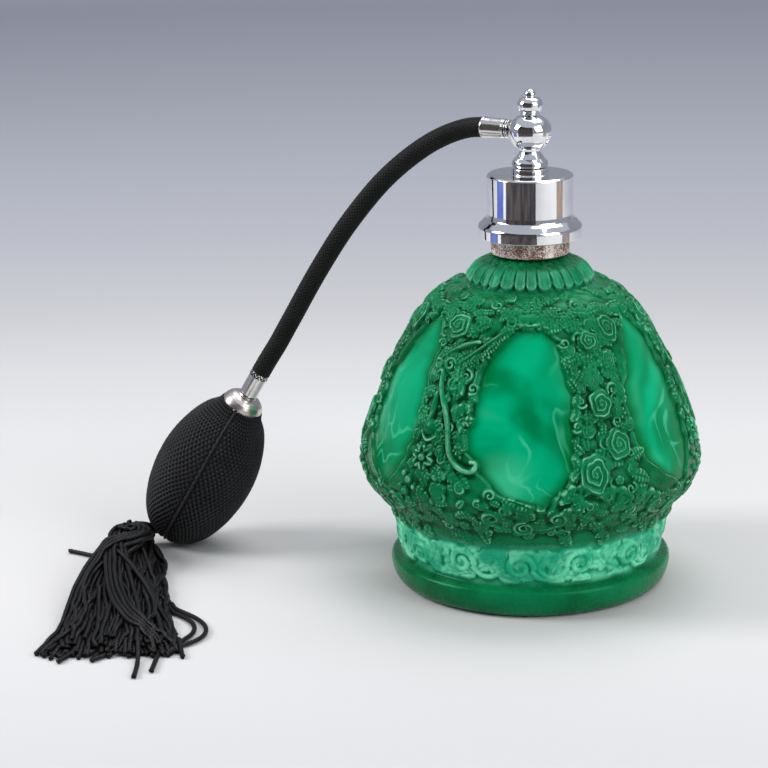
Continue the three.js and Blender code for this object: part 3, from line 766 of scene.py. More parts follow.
def leaf(length, width, height, teeth=6, bend=0.0):
    """A toothed leaf with a sunk midrib, from its stalk along +x."""
    def motif(x, y):
        t = x / length
        clipped = np.clip(t, 0, 1)
        off = y - bend * length * clipped * (1 - clipped) * 2
        half = width * np.sin(np.pi * clipped ** 0.75) ** 0.85 * (1 - 0.26 * ((clipped * teeth) % 1.0))
        side = np.abs(off) / np.maximum(half, 1e-3)
        blade = 0.45 + 0.55 * np.sqrt(np.clip(1 - side ** 2, 0, 1))
        rib = -0.34 * np.exp(-(off / 0.28) ** 2)
        veins = 0.10 * np.cos(2 * np.pi * (clipped * teeth - side * 0.55)) * (side > 0.12)
        fall = 0.55 + 0.45 * np.sin(np.pi * clipped) ** 0.5
        return height * fall * (blade + rib + veins), (t > 0) & (t < 1) & (side < 1)
    return motif


def bead(radius, height):
    def motif(x, y):
        d = (x * x + y * y) / radius ** 2
        return height * np.sqrt(np.clip(1 - d, 0, 1)), d < 1
    return motif


def shell(radius, height, ribs=9):
    """A ribbed half shell that opens along +x."""
    def motif(x, y):
        rho = np.hypot(x, y) / radius
        a = np.arctan2(y, x)
        spread = np.radians(78)
        rib = 0.5 + 0.5 * np.cos(a / spread * np.pi * ribs / 2)
        edge = rho / (0.90 + 0.10 * rib)
        rim = np.exp(-((edge - 0.86) / 0.10) ** 2)
        value = (0.35 + 0.45 * edge) * (0.62 + 0.38 * rib) + 0.25 * rim
        return height * value, (edge < 1) & (np.abs(a) < spread)
    return motif


def oval_boss(half_width, half_height, height):
    """A smooth oval boss with a soft rim and a few petals round it."""
    def motif(x, y):
        d = np.hypot(x / half_width, y / half_height)
        rim = np.exp(-((d - 0.84) / 0.10) ** 2)
        dome = np.sqrt(np.clip(1 - (d / 0.66) ** 2, 0, 1))
        petals = 0.10 * np.cos(12 * np.arctan2(y / half_height, x / half_width)) * smooth(0.3, 0.6, d)
        return height * (0.32 + 0.36 * rim + 0.42 * dome + petals), d < 1
    return motif


def volute(radius, turns, way=1, start_deg=0.0):
    """Points on a spiral from its outside to its eye."""
    share = np.linspace(0, 1, int(40 * turns))
    angle = math.radians(start_deg) + way * share * turns * 2 * np.pi
    size = radius * (1 - 0.80 * share)
    return np.stack([size * np.cos(angle), size * np.sin(angle)], 1)


def panel_distance(field, deg, edges):
    """Distance in mm inside the edge of the panel centred at deg, and negative outside it."""
    z, left, right = np.array(edges).T
    low, high = field.at(z[0]), field.at(z[-1])
    ripple = 0.45 * np.sin(field.z * 0.55) + 0.35 * np.sin(field.z * 1.13 + 1.0)
    off = (field.degrees - deg + PATTERN_DEG / 2) % PATTERN_DEG - PATTERN_DEG / 2
    from_left = off[None, :] - (np.interp(field.z, z, left) - ripple)[:, None]
    from_right = (np.interp(field.z, z, right) + ripple)[:, None] - off[None, :]
    gap = np.minimum(from_left, from_right) * np.radians(1) * field.r[:, None]
    ends = 1.2 * np.minimum(field.s - low, high - field.s)[:, None]
    return np.where(field.body[:, None], np.minimum(gap, ends), -50)


def fill_ground(field, count, zones, rng):
    """Overlapping leaves, buds and curls that cover the ground: each zone gives its heights and degrees."""
    for z0, z1, deg0, deg1, share in zones:
        for _ in range(round(count * share)):
            deg, s = rng.uniform(deg0, deg1), field.at(rng.uniform(z0, z1))
            kind = rng.random()
            if kind < 0.66:
                length = rng.uniform(4.0, 7.2)
                motif = leaf(length, 0.33 * length, rng.uniform(0.95, 1.4), 5, rng.uniform(-0.25, 0.25))
                field.stamp(deg, s, 1.05 * length, rng.uniform(0, 360), motif)
            elif kind < 0.86:
                size = rng.uniform(1.5, 2.4)
                field.stamp(deg, s, 1.2 * size, 0, rose(size, rng.uniform(1.2, 1.5), 6 * rng.random()))
            else:
                curl = volute(rng.uniform(1.4, 2.2), 1.2, rng.choice([-1, 1]), rng.uniform(0, 360))
                field.ridge(deg, s, curl, [0.6, 0.5, 0.4], [1.4, 1.3, 1.2])


GROUND_COVER = 560
# Parts of the ground: lowest and highest height, first and last degree, share of the cover
GROUND_ZONES = [
    (27, 38, 0, 120, 0.27), (38, 44, -14, 10, 0.02), (90, 98, 0, 120, 0.17), (38, 92, 19, 43, 0.27),
    (38, 92, 78, 101, 0.27),
]
# What stands on the garland's band: height, degrees off its middle, then the motif's own sizes or turn
GARLAND_ROSES = [
    (86.5, 2.8, 3.7, 1.9, 1.0), (89.5, 16.0, 4.2, 1.8, 1.3), (81.0, 10.0, 2.9, 1.6, 1.1),
    (92.5, -7.0, 2.7, 1.5, 1.0), (68.8, 1.8, 4.4, 2.1, 1.15), (56.8, 6.2, 4.7, 2.2, 1.15),
    (49.0, -4.2, 5.3, 2.3, 1.3), (61.5, -4.4, 2.6, 1.6, 1.0), (76.0, -1.5, 2.4, 1.5, 1.0),
]
GARLAND_LEAVES = [
    (79.0, -3.5, 230, 6.0), (80.0, -6.0, 150, 5.0), (83.0, -5.0, 200, 5.5), (73.0, -6.5, 120, 6.0),
    (71.0, 8.5, 40, 5.5), (64.0, 8.0, 70, 5.0), (63.0, -1.5, 200, 5.0), (52.0, 10.5, 20, 6.5),
    (47.5, 9.5, -25, 8.0), (55.0, -7.0, 130, 5.0), (94.0, 12.0, 165, 9.0), (95.0, 20.0, 190, 8.0),
    (90.0, -2.0, 110, 5.0),
]
GARLAND_SHELLS = [
    (37.5, 2.0, 8.0, 60), (35.0, 15.5, 7.5, 40), (41.0, -10.5, 6.0, 110), (34.5, -12.0, 5.5, 140),
]


def carve_garland(field, deg, rng):
    """A hanging garland: roses and leaves down the band, shells at its foot."""
    for z, off, radius, turn in GARLAND_SHELLS:
        field.stamp(deg + off, field.at(z), 1.1 * radius, turn, shell(radius, 1.7))
    for z, off, angle, length in GARLAND_LEAVES:
        field.stamp(deg + off, field.at(z), 1.05 * length, angle, leaf(length, 0.33 * length, 1.5, 6, 0.1))
    field.ridge(deg + 8.5, field.at(72.5), volute(2.3, 1.2, -1, 200), [0.8, 0.7, 0.5], [1.7, 1.6, 1.4])
    for z, off, radius, height, stretch in GARLAND_ROSES:
        motif = rose(radius, height, 6 * rng.random(), stretch)
        field.stamp(deg + off, field.at(z), 1.2 * radius * stretch, 0, motif)


# The long stem, as heights and degrees, then pods and berries with their sizes
SCROLL_STEM = [(76.6, -7.6), (77.4, -5.6), (75.4, -4.6), (70.5, -2.2), (65, 1.4), (59.5, 3.6), (54.5, 5.2),
               (51.2, 8.4), (49.8, 12.0), (50.6, 15.0), (52.4, 15.2), (52.6, 13.6)]
SCROLL_PODS = [(73.8, 4.6, 2.7, 1.7), (67.8, 6.6, 2.6, 1.7), (62.8, 7.0, 2.3, 1.6)]
SCROLL_BERRIES = [(44.2, -10.2, 1.5), (45.8, -12.6, 1.2), (39.8, -11.9, 1.6), (41.4, -14.0, 1.2),
                  (38.5, 0.3, 1.4), (37.0, -2.0, 1.2), (36.2, 2.2, 1.1), (42.0, -7.8, 1.1)]


def drop(length, radius, height):
    """A smooth pod, round at one end and drawn out along +x."""
    def motif(x, y):
        t = np.clip(x / length, 0, 1)
        half = radius * np.sqrt(np.clip(1 - (2 * t - 1) ** 2, 0, 1)) * (1.15 - 0.5 * t)
        side = np.abs(y) / np.maximum(half, 1e-3)
        return height * np.sqrt(np.clip(1 - side ** 2, 0, 1)), (x > 0) & (x < length) & (side < 1)
    return motif


def carve_scrolls(field, deg):
    """A rose and a feather at the top, a long smooth stem that ends in a volute, pods, a flower and a fan."""
    feather = 9
    for i in range(feather):
        t = i / (feather - 1)
        motif = leaf(4.6 - 0.8 * t, 1.1, 1.5, 4)
        field.stamp(deg + 21 - 17 * t, field.at(89.6 - 8.6 * t), 5, -62, motif)
    field.stem(deg, [(90.6, 23), (86, 13), (80.5, 2.5)], [0.7, 0.8, 0.6], [1.6, 1.7, 1.4])
    field.stem(deg, [(86.5, 9), (84.8, 1), (83.2, -3.5)], [0.9, 1.1, 0.8], [1.7, 1.9, 1.6])
    field.stamp(deg - 5.0, field.at(90.2), 6, 0, rose(4.6, 2.2, 0.5))
    field.stamp(deg - 14.0, field.at(93.0), 4, 0, rose(3.0, 1.6, 2.0))
    field.ridge(deg - 2.6, field.at(79.4), volute(2.2, 1.3, 1, 20), [0.8, 0.7, 0.5], [1.7, 1.6, 1.4])
    field.stem(deg, SCROLL_STEM, [0.55, 0.9, 1.05, 1.0, 1.1, 0.8], [1.7, 2.1, 2.2, 2.2, 2.1, 1.7])
    for z, off, length, height in SCROLL_PODS:
        field.stamp(deg + off, field.at(z) + 0.5 * length, 5, -70, drop(1.6 * length, 1.5, height))
    field.stamp(deg - 4.4, field.at(71.5), 10, -95, drop(9.0, 1.5, 2.0))
    field.stamp(deg - 5.0, field.at(60.8), 4, 0, bead(2.9, 2.0))
    field.stem(deg, [(59.5, -8.0), (57.0, -5.0), (58.5, -1.2)], [0.5, 0.7, 0.5], [1.7, 1.9, 1.7])
    field.stamp(deg - 5.1, field.at(51.8), 5, 0, blossom(4.4, 2.2, 0.3, 6))
    field.stamp(deg + 1.5, field.at(50.5), 6, -50, shell(5.2, 1.6, 7))
    for z, off, size in SCROLL_BERRIES:
        field.stamp(deg + off, field.at(z), 2, 0, bead(size, size + 0.2))


def carve_frame(field, deg):
    """The boss and its leaves over a panel, and the scrolls under it."""
    for side in (-1, 1):
        for k in range(3):
            motif = leaf(8.0 - 1.4 * k, 1.9, 1.4, 6, 0.12 * side)
            turn = 90 - (72 - 14 * k) * side
            field.stamp(deg + 2.5 + 7.0 * side, field.at(94.4 - 1.1 * k), 9, turn, motif)
        field.ridge(deg + 2 + 11 * side, field.at(35.0), volute(2.9, 1.5, side, -90), [1.0, 0.9, 0.6],
                    [1.8, 1.7, 1.5])
        field.ridge(deg + 2, field.at(31.0), [(12.2 * side, 5.0), (8.0 * side, 0.8), (3.6 * side, -0.4)],
                    [0.9, 1.0, 0.7], [1.4, 1.6, 1.4])
    field.stamp(deg + 2.5, field.at(93.6), 7, 0, oval_boss(6.0, 3.2, 1.8))
    field.ridge(deg + 2, field.at(31.5), volute(3.4, 1.9, 1, 90), [0.9, 0.8, 0.55], [1.8, 1.7, 1.5])


def carve_cap(field):
    """Gadroons round the shoulder: petals with rounded ends, each with a bead along both its edges."""
    low, high = field.at(98.6), field.at(105.4)
    s = field.s[:, None]
    cap = smooth(low - 0.6, low + 0.4, s) * smooth(high + 0.6, high - 2.6, s)
    petals = 10
    uneven = 0.10 * np.sin(np.radians(field.degrees * 9))[None, :]
    across = (field.degrees[None, :] / PATTERN_DEG * petals + uneven) % 1.0
    off = np.abs(2 * across - 1)
    rim = 0.52 * np.exp(-((off - 0.66) / 0.15) ** 2)
    body = 0.62 * np.sqrt(np.clip(1 - off ** 6, 0, 1))
    tips = smooth(0.0, 1.0, s - low - 2.2 * off ** 3)
    end = 0.30 * np.exp(-((s - low - 1.2 - 2.2 * off ** 3) / 0.5) ** 2)
    fade = smooth(high, high - 5.0, s)
    field.height = field.height * (1 - cap) + cap * ((body + (rim + end) * fade) * tips)


def carve_pedestal(field, rng):
    """Soft scrolls and leaves all round the pedestal's waist."""
    ring = Relief()
    foot = field.s < 40
    middle = float(np.interp(16.6, field.z[foot], field.s[foot]))
    leaves = 84
    for i in range(leaves):
        deg = PATTERN_DEG * i / leaves + rng.uniform(-1, 1)
        length = rng.uniform(5.0, 9.0)
        motif = leaf(length, 0.36 * length, rng.uniform(0.6, 1.0), 3, rng.uniform(-0.3, 0.3))
        turn = rng.choice([25, 155, 60, 120, 200, 340])
        ring.stamp(deg, middle + rng.uniform(-5.0, 5.0), 1.05 * length, turn, motif)
    scrolls = 5
    for i in range(scrolls):
        deg = PATTERN_DEG * i / scrolls + rng.uniform(-2, 2)
        way = 1 if i % 2 == 0 else -1
        s = middle + rng.uniform(-1.2, 1.2)
        tail = [(4.0 * way, -1.5), (7.0 * way, -4.2), (11.0 * way, -3.4), (14.0 * way, 0.5)]
        ring.ridge(deg, s, volute(4.2, 1.5, way, 90 - 90 * way), [1.2, 1.2, 0.9], [1.25, 1.2, 1.0])
        ring.ridge(deg, s, tail, [1.1, 1.1, 0.9, 0.6], [1.1, 1.1, 1.0, 0.6])
        ring.stamp(deg + 12, middle + 0.5, 7, rng.uniform(60, 120), shell(5.4, 1.0, 7))
    z = field.z[:, None]
    waist = smooth(10.4, 11.6, z) * smooth(23.2, 21.8, z) * foot[:, None]
    field.height = field.height + ring.height * waist


def carved_field():
    """The whole pattern: the relief, how much each point is panel, and how deep it is inside one in mm."""
    rng = np.random.default_rng(7)
    field = Relief()
    inside = np.maximum(panel_distance(field, 0.0, FRONT_PANEL), panel_distance(field, 60.0, SIDE_PANEL))
    panel = smooth(-0.3, 1.8, inside)
    s = field.s[:, None]
    angle = np.radians(field.degrees)[None, :]
    z = field.z[:, None]
    zone = smooth(25.0, 28.0, z) * field.body[:, None]
    uneven = 0.18 * np.sin(0.9 * s + 2.0 * np.sin(6 * angle)) * np.sin(27 * angle + 0.35 * s)
    field.height = zone * (0.35 + uneven) * (1 - panel)
    fill_ground(field, GROUND_COVER, GROUND_ZONES, rng)
    carve_garland(field, 30.0, rng)
    carve_scrolls(field, 90.0)
    for deg in (0.0, 60.0):
        carve_frame(field, deg)
    keep = smooth(0.9, 2.2, inside - 0.9 * smooth(1.5, 2.1, field.height))
    lip = 0.30 * np.exp(-((inside + 0.2) / 0.6) ** 2)
    field.height = field.height * (1 - keep) - PANEL_SINK * panel + lip * (1 - keep)
    carve_cap(field)
    shoulder = zone * smooth(98.6, 95.0, z)
    field.height -= RELIEF_SINK * shoulder + zone * (1 - smooth(98.6, 95.0, z))
    carve_pedestal(field, rng)
    return field, keep, inside


def blurred(values, rows, columns):
    """Mean over a window; the columns close on themselves."""
    padded = np.pad(values, ((0, 0), (columns, columns)), mode="wrap")
    padded = np.pad(padded, ((rows, rows), (0, 0)), mode="edge")
    for axis, reach in ((0, rows), (1, columns)):
        total = np.cumsum(padded, axis=axis)
        total = np.insert(total, 0, 0, axis=axis)
        size = 2 * reach + 1
        high = np.take(total, range(size, total.shape[axis]), axis=axis)
        low = np.take(total, range(0, total.shape[axis] - size), axis=axis)
        padded = (high - low) / size
    return padded


def carved_glass():
    low, high = box_mm("glass_bottle")
    neck_top = high[2]
    field, panel, from_edge = carved_field()
    height = blurred(field.height, 1, 1)
    crest = height - blurred(height, 4, 8)
    hollow = height - blurred(height, 13, 26)
    rows = int(round(field.s[-1] / GLASS_ROW_MM)) + 1
    row_at = np.linspace(0, len(field.s) - 1, rows)
    whole = row_at.astype(int)
    part = row_at - whole
    after = np.minimum(whole + 1, len(field.s) - 1)
    columns = GLASS_COLUMNS // PATTERN_REPEATS
    pick = np.arange(columns) * (FIELD_COLUMNS // columns)

    def sampled(values):
        fine = values[whole] * (1 - part)[:, None] + values[after] * part[:, None]
        return np.tile(fine[:, pick], (1, PATTERN_REPEATS))

    r = np.interp(row_at, np.arange(len(field.s)), field.r)
    z = np.interp(row_at, np.arange(len(field.s)), field.z)
    slope_r, slope_z = np.gradient(r), np.gradient(z)
    size = np.hypot(slope_r, slope_z)
    lift = sampled(height)
    lift[0] = lift[-1] = 0
    radius = r[:, None] + lift * (slope_z / size)[:, None]
    level = low[2] + z[:, None] - lift * (slope_r / size)[:, None]
    angle = np.radians(PANEL_FIRST_DEG) + np.linspace(0, 2 * np.pi, GLASS_COLUMNS, endpoint=False)

    neck = rounded([(NECK_GLASS_R, z[-1] + 0.6), (NECK_GLASS_R, neck_top, 0.35), (NECK_BORE_R, neck_top)])
    radius = np.vstack([radius, np.repeat(neck[:, :1], GLASS_COLUMNS, 1)])
    level = np.vstack([level, np.repeat(neck[:, 1:], GLASS_COLUMNS, 1)])
    outer = UPRIGHT.points(radius, angle[None, :], level).reshape(-1, 3)
    outer_rows = len(radius)

    inside = [(NECK_BORE_R, neck_top - 0.6), (NECK_BORE_R, 105.5), (14.5, 99.5), (30, 87.5), (40.5, 71),
              (47.5, 52), (48.6, 39), (40, 27), (20, 24.4)]
    under = [(37.5, 0.5), (34, 1.2), (20, 1.2)]
    coarse_angle = np.radians(PANEL_FIRST_DEG) + np.linspace(0, 2 * np.pi, COARSE_COLUMNS, endpoint=False)

    def coarse_rings(outline):
        outline = np.array(outline, float)
        return UPRIGHT.points(outline[:, :1], coarse_angle[None, :], outline[:, 1:]).reshape(-1, 3)

    inner_start = len(outer)
    inner = coarse_rings(inside)
    under_start = inner_start + len(inner)
    bottom = coarse_rings(under)
    points = np.vstack([outer, inner, bottom])
    quads = np.vstack([
        ring_quads(outer_rows, GLASS_COLUMNS),
        ring_quads(len(inside), COARSE_COLUMNS, start=inner_start),
        ring_quads(len(under), COARSE_COLUMNS, start=under_start)[:, ::-1],
    ])
    each = GLASS_COLUMNS // COARSE_COLUMNS
    top = (outer_rows - 1) * GLASS_COLUMNS
    polygons = []
    for j in range(COARSE_COLUMNS):
        k = (j + 1) % COARSE_COLUMNS
        fine = [(each * j + m) % GLASS_COLUMNS for m in range(each + 1)]
        polygons.append([top + m for m in fine] + [inner_start + k, inner_start + j])
        polygons.append(fine[::-1] + [under_start + j, under_start + k])
    floor_ring = inner_start + (len(inside) - 1) * COARSE_COLUMNS
    base_ring = under_start + (len(under) - 1) * COARSE_COLUMNS
    polygons.append(range(floor_ring, floor_ring + COARSE_COLUMNS))
    polygons.append(range(base_ring, base_ring + COARSE_COLUMNS)[::-1])
    obj = make_mesh("carved_glass", points, quads, polygons)

    def padded(values, fill=0.0):
        out = np.full(len(points), fill)
        out[:values.size] = values.ravel()
        return out

    pedestal = smooth(9.8, 12.0, z) * smooth(25.5, 21.5, z)
    set_attribute(obj, "panel", padded(sampled(panel)))
    set_attribute(obj, "inside", padded(sampled(np.clip(from_edge, 0, 20))))
    set_attribute(obj, "crest", padded(sampled(crest)))
    set_attribute(obj, "hollow", padded(sampled(hollow)))
    petals = 0.30 * smooth(98.0, 99.0, z) * smooth(106.0, 103.0, z)
    set_attribute(obj, "pale", padded(np.repeat((pedestal + petals)[:, None], GLASS_COLUMNS, 1)))
    finish_piece(obj, "bottle", "green_glass", "glass_bottle")


carved_glass()


# ---- neck ring, collar and the stack under it ------------------------------------------------------------

THREAD_PITCH = 2.6


def thread_wave(angle, h, phase=0.0):
    """0 in a thread's valleys and 1 on its crests."""
    return 0.5 + 0.5 * np.cos(2 * np.pi * (h / THREAD_PITCH - angle / (2 * np.pi)) + phase)


def neck_ring():
    low, high = box_mm("neck_ring")
    base, top = low[2], high[2]
    skirt_r, thread_r, bore_r, skirt_top = 12.4, 11.55, 10.8, base + 4.7
    thread_height = 0.30

    def wear(angle, r, h):
        ends = smooth(skirt_top + 0.6, skirt_top + 1.4, h) * smooth(top - 0.5, top - 1.4, h)
        thread = ends * (r > bore_r + 0.3) * thread_height * (thread_wave(angle, h) ** 1.5 - 0.3)
        pits = np.sin(9 * angle + 1.7 * h) * np.sin(23 * angle - 3.1 * h) * np.sin(41 * angle + 5.3 * h)
        return thread - 0.06 * smooth(0.25, 0.6, pits) * (r > skirt_r - 0.2) * (h < skirt_top)

    turned("threaded_neck_ring", UPRIGHT, [
        (bore_r, base), (skirt_r, base, 0.5), (skirt_r, skirt_top, 0.35), (thread_r, skirt_top, 0.2),
        (thread_r, top, 0.4), (bore_r, top, 0.2),
    ], "bottle", "worn_plating", "neck_ring", 0.28, 240, shape=wear)


def collar():
    low, high = box_mm("collar_shell")
    base, hub_top = low[2], high[2]
    top = hub_top - 2.0
    flange_r, wall_r, bore_r, hub_r, hole_r, plate = 16.4, 13.6, 12.95, 5.95, 3.4, 1.8
    turned("chrome_collar", UPRIGHT, [
        (bore_r, base), (15.7, base, 0.2), (flange_r, base + 0.35, 0.3), (flange_r, base + 3.8, 1.6),
        (14.8, base + 5.4, 0.9), (13.8, base + 6.2, 0.9), (wall_r, base + 7.6, 0.6),
        (wall_r, top - 0.55, 0.35), (13.0, top, 0.5), (hub_r + 0.2, top, 0.3), (hub_r, top + 0.3, 0.2),
        (hub_r, hub_top, 0.45), (hole_r, hub_top, 0.2), (hole_r, top - plate, 0.2), (12.2, top - plate, 0.4),
        (bore_r, top - 2.6, 0.3),
    ], "collar", "chrome", "collar_shell", 1.6, 192, fillet_steps=6)


def thread_insert():
    low, high = box_mm("collar_thread_insert")
    inner_r, outer_r = 12.0, 12.65

    def thread(angle, r, h):
        wave = thread_wave(angle, h, np.pi)
        return -0.20 * wave ** 2 * (r < inner_r + 0.15) * smooth(low[2] + 0.2, low[2] + 1, h)

    turned("collar_thread", UPRIGHT, [
        (inner_r, low[2], 0.1), (outer_r, low[2], 0.1), (outer_r, high[2], 0.1), (inner_r, high[2], 0.1),
    ], "collar", "brass", "collar_thread_insert", 0.3, 144, shape=thread)


def washer(name, node, inner_r, outer_r, groove):
    """A cork ring between a node's lowest and highest points, with softened edges and pressed-in circles."""
    low, high = box_mm(node)
    outline = refined(rounded([
        (inner_r, low[2], 0.25), (outer_r, low[2], 0.35), (outer_r, high[2], 0.35), (inner_r, high[2], 0.25),
    ], close=True), 0.5, close=True)
    middle = (low[2] + high[2]) / 2
    faces = np.abs(outline[:, 1] - middle) > 0.45 * (high[2] - low[2])
    pressed = groove * np.exp(-((outline[:, 0] - (0.35 * inner_r + 0.65 * outer_r)) / 0.4) ** 2)
    outline[:, 1] -= np.sign(outline[:, 1] - middle) * pressed * faces
    finish_piece(lathe(name, UPRIGHT, outline, 128, close=True), "head", "cork", node)


def stem_and_tube():
    low, high = box_mm("stem_flange")
    turned("stem_and_flange", UPRIGHT, [
        (1.75, low[2], 0.15), (11.3, low[2], 0.25), (11.3, low[2] + 1.4, 0.25), (3.2, low[2] + 1.4, 0.1),
        (3.0, low[2] + 1.6, 0.1), (3.0, high[2], 0.3), (1.75, high[2], 0.15),
    ], "head", "brass", "stem_flange", 0.9, 128)

    low, high = box_mm("dip_tube_socket")
    outline = [(1.7, low[2]), (2.5, low[2], 0.3), (2.5, low[2] + 1.2, 0.2), (3.1, low[2] + 1.8, 0.3)]
    grooves = 4
    for i in range(grooves):
        base = low[2] + 2.4 + 0.9 * i
        outline += [(3.1, base, 0.1), (2.85, base + 0.3, 0.1), (3.1, base + 0.6, 0.1)]
    outline += [(3.1, high[2], 0.2), (1.7, high[2])]
    turned("tube_socket", UPRIGHT, outline, "head", "brass", "dip_tube_socket")

    low, high = box_mm("dip_tube")
    outer_r, bore_r = 1.35, 0.8
    turned("drawn_dip_tube", UPRIGHT, [
        (bore_r, low[2], 0.1), (outer_r, low[2], 0.2), (outer_r, high[2], 0.1), (bore_r, high[2], 0.1),
    ], "head", "steel", "dip_tube", 6, 48)


# ---- spray head ------------------------------------------------------------------------------------------

def bored(obj, *drills):
    """Cuts drills out of a piece and removes them."""
    for drill in drills:
        cut = obj.modifiers.new("bore", "BOOLEAN")
        cut.operation = "DIFFERENCE"
        cut.solver = "EXACT"
        cut.object = drill
    bpy.context.view_layer.update()
    graph = bpy.context.evaluated_depsgraph_get()
    mesh = bpy.data.meshes.new_from_object(obj.evaluated_get(graph))
    obj.modifiers.clear()
    obj.data = mesh
    mesh.shade_smooth()
    weigh_normals(obj)
    for drill in drills:
        bpy.data.objects.remove(drill)


def spray_head():
    low, high = box_mm("head_body")
    foot, cut_z = low[2], high[2]
    ball_z, ball_r, ball_rise = foot + 11.2, 6.8, 5.4
    nipple_z = box_mm("hose_nipple")[0][2] + 2.9
    nozzle_z = box_mm("spray_nozzle")[0][2] + 1.1
    outline = [(0, foot)]
    outline += list(rounded([
        (3.4, foot), (5.35, foot, 0.3), (5.8, foot + 0.6, 0.35), (5.6, foot + 1.6, 0.8),
        (4.5, foot + 2.7, 1.2),
        (3.6, foot + 4.1, 1.2), (3.2, foot + 4.9, 0.5), (3.4, foot + 5.8, 0.3), (4.3, ball_z - 5.2),
    ]))
    outline += arc(ball_z, ball_r, ball_z - 5.1, ball_z, 24)
    outline += arc(ball_z, ball_r, ball_z + 0.3, cut_z - 0.15, 20, ball_rise)
    outline += [(2.9, cut_z), (0, cut_z)]
    obj = lathe("spray_head", UPRIGHT, outline, 160)
    hose_side = Axis((0, 0, nipple_z), (-1, 0, 0), (0, 0, 1))
    spray_side = Axis((0, 0, nozzle_z), (1, 0, 0), (0, 0, 1))
    seat = lathe("drill_hose", hose_side, [(0, 4.2), (2.1, 4.2), (2.1, 9), (0, 9)], 48)
    nozzle = lathe("drill_spray", spray_side, [(0, 4.0), (1.4, 4.0), (1.4, 9), (0, 9)], 48)
    bored(obj, seat, nozzle)
    finish_piece(obj, "head", "chrome", "head_body")

    turned("spray_tip", spray_side, [
        (0.3, 4.3), (1.1, 4.3, 0.1), (1.1, 6.0, 0.15), (0.8, 6.4, 0.15), (0.55, 6.4, 0.1), (0.3, 6.0, 0.1),
    ], "head", "chrome", "spray_nozzle", segments=64)
    turned("hose_spigot", hose_side, [
        (0.75, 4.5), (1.8, 4.5, 0.2), (1.8, 7.5, 0.15), (2.9, 7.5, 0.15),
        (2.9, 7.95, 0.15), (1.75, 7.95, 0.2),
        (1.75, 15.7, 0.3), (0.75, 16.0, 0.1),
    ], "head", "nickel", "hose_nipple", 2, 64)
    turned("spigot_washer", hose_side, [
        (2.1, 6.8, 0.1), (3.0, 6.8, 0.15), (3.0, 7.2, 0.15), (2.1, 7.2, 0.1),
    ], "head", "nickel", "nipple_washer", segments=64)
    return hose_side


def finial():
    low, high = box_mm("finial")
    base, top = low[2], high[2]
    disc, oval_z, bead_r = base + 2.0, base + 5.0, 1.88
    outline = [(0, base)]
    outline += list(rounded([(1.0, base), (1.5, base + 0.3, 0.2), (1.5, disc, 0.05), (2.95, disc, 0.2),
                             (2.9, disc + 0.45, 0.2), (2.5, disc + 0.6, 0.1), (2.9, disc + 0.75)]))
    outline += arc(oval_z, 4.07, disc + 0.85, oval_z, 16, 3.45)
    outline += arc(oval_z, 4.07, oval_z + 0.2, oval_z + 2.25, 16, 3.0)
    outline += list(rounded([(2.3, oval_z + 2.35), (1.5, oval_z + 2.4, 0.2), (1.6, oval_z + 2.5)]))
    outline += arc(top - bead_r, bead_r, top - bead_r - 0.55, top - 0.01, 18)
    outline.append((0, top))
    obj = lathe("finial_knob", UPRIGHT, outline, 112)
    finish_piece(obj, "head", "chrome", "finial")


# ---- ferrules and the bulb's collar ----------------------------------------------------------------------

BULB_AXIS = unit(joint("outlet_ball_lift")["axis"])
PRESS_AXIS = unit(joint("bulb_squeeze")["axis"])
OUTLET_BALL_DEPTH = 6.25
ball_low, ball_high = box_mm("outlet_valve_ball")
BULB_NECK = (ball_low + ball_high) / 2 + OUTLET_BALL_DEPTH * BULB_AXIS
BULB = Axis(BULB_NECK, BULB_AXIS, np.cross(PRESS_AXIS, BULB_AXIS))


def ferrules(hose_side):
    """Drawn sleeves that grip the hose's ends, with rolled lips and grooves."""
    turned("hose_ferrule_upper", hose_side, [
        (2.1, 8.25, 0.1), (3.0, 8.25, 0.15), (3.0, 8.6, 0.1), (2.8, 8.8, 0.1), (3.1, 9.0, 0.15),
        (3.2, 13.4, 0.5), (3.3, 15.4, 0.2), (3.35, 15.8, 0.2), (3.3, 16.2, 0.15), (3.0, 16.2, 0.1),
        (2.95, 12.6, 0.2), (2.1, 12.2, 0.2),
    ], "bulb", "nickel", "upper_ferrule", 1.2)
    turned("hose_ferrule_lower", BULB, [
        (2.1, 5.3, 0.1), (2.9, 5.3, 0.25), (3.05, 5.7, 0.2), (3.1, 13.4, 0.3), (3.15, 13.8, 0.2),
        (3.1, 14.2, 0.12), (2.9, 14.2, 0.1), (2.85, 11.4, 0.2), (2.1, 11.0, 0.2),
    ], "bulb", "nickel", "lower_ferrule", 1.2)


def bulb_collar():
    turned("bulb_dome", BULB, [
        (6.3, 0.0, 0.15), (6.9, 0.0, 0.25), (6.95, 0.8, 0.3), (6.75, 1.9, 0.8),
        (6.1, 3.0, 0.8), (5.0, 3.9, 0.8),
        (3.9, 4.3, 0.4), (3.0, 4.5, 0.2), (2.8, 5.0, 0.15), (2.1, 5.0, 0.1), (2.1, 3.7, 0.2), (3.6, 3.3, 0.4),
        (4.9, 2.4, 0.7), (5.9, 1.0, 0.4),
    ], "bulb", "nickel", "bulb_collar", 0.6, 128, look="satin_nickel")


# ---- knitted net over the bulb ---------------------------------------------------------------------------

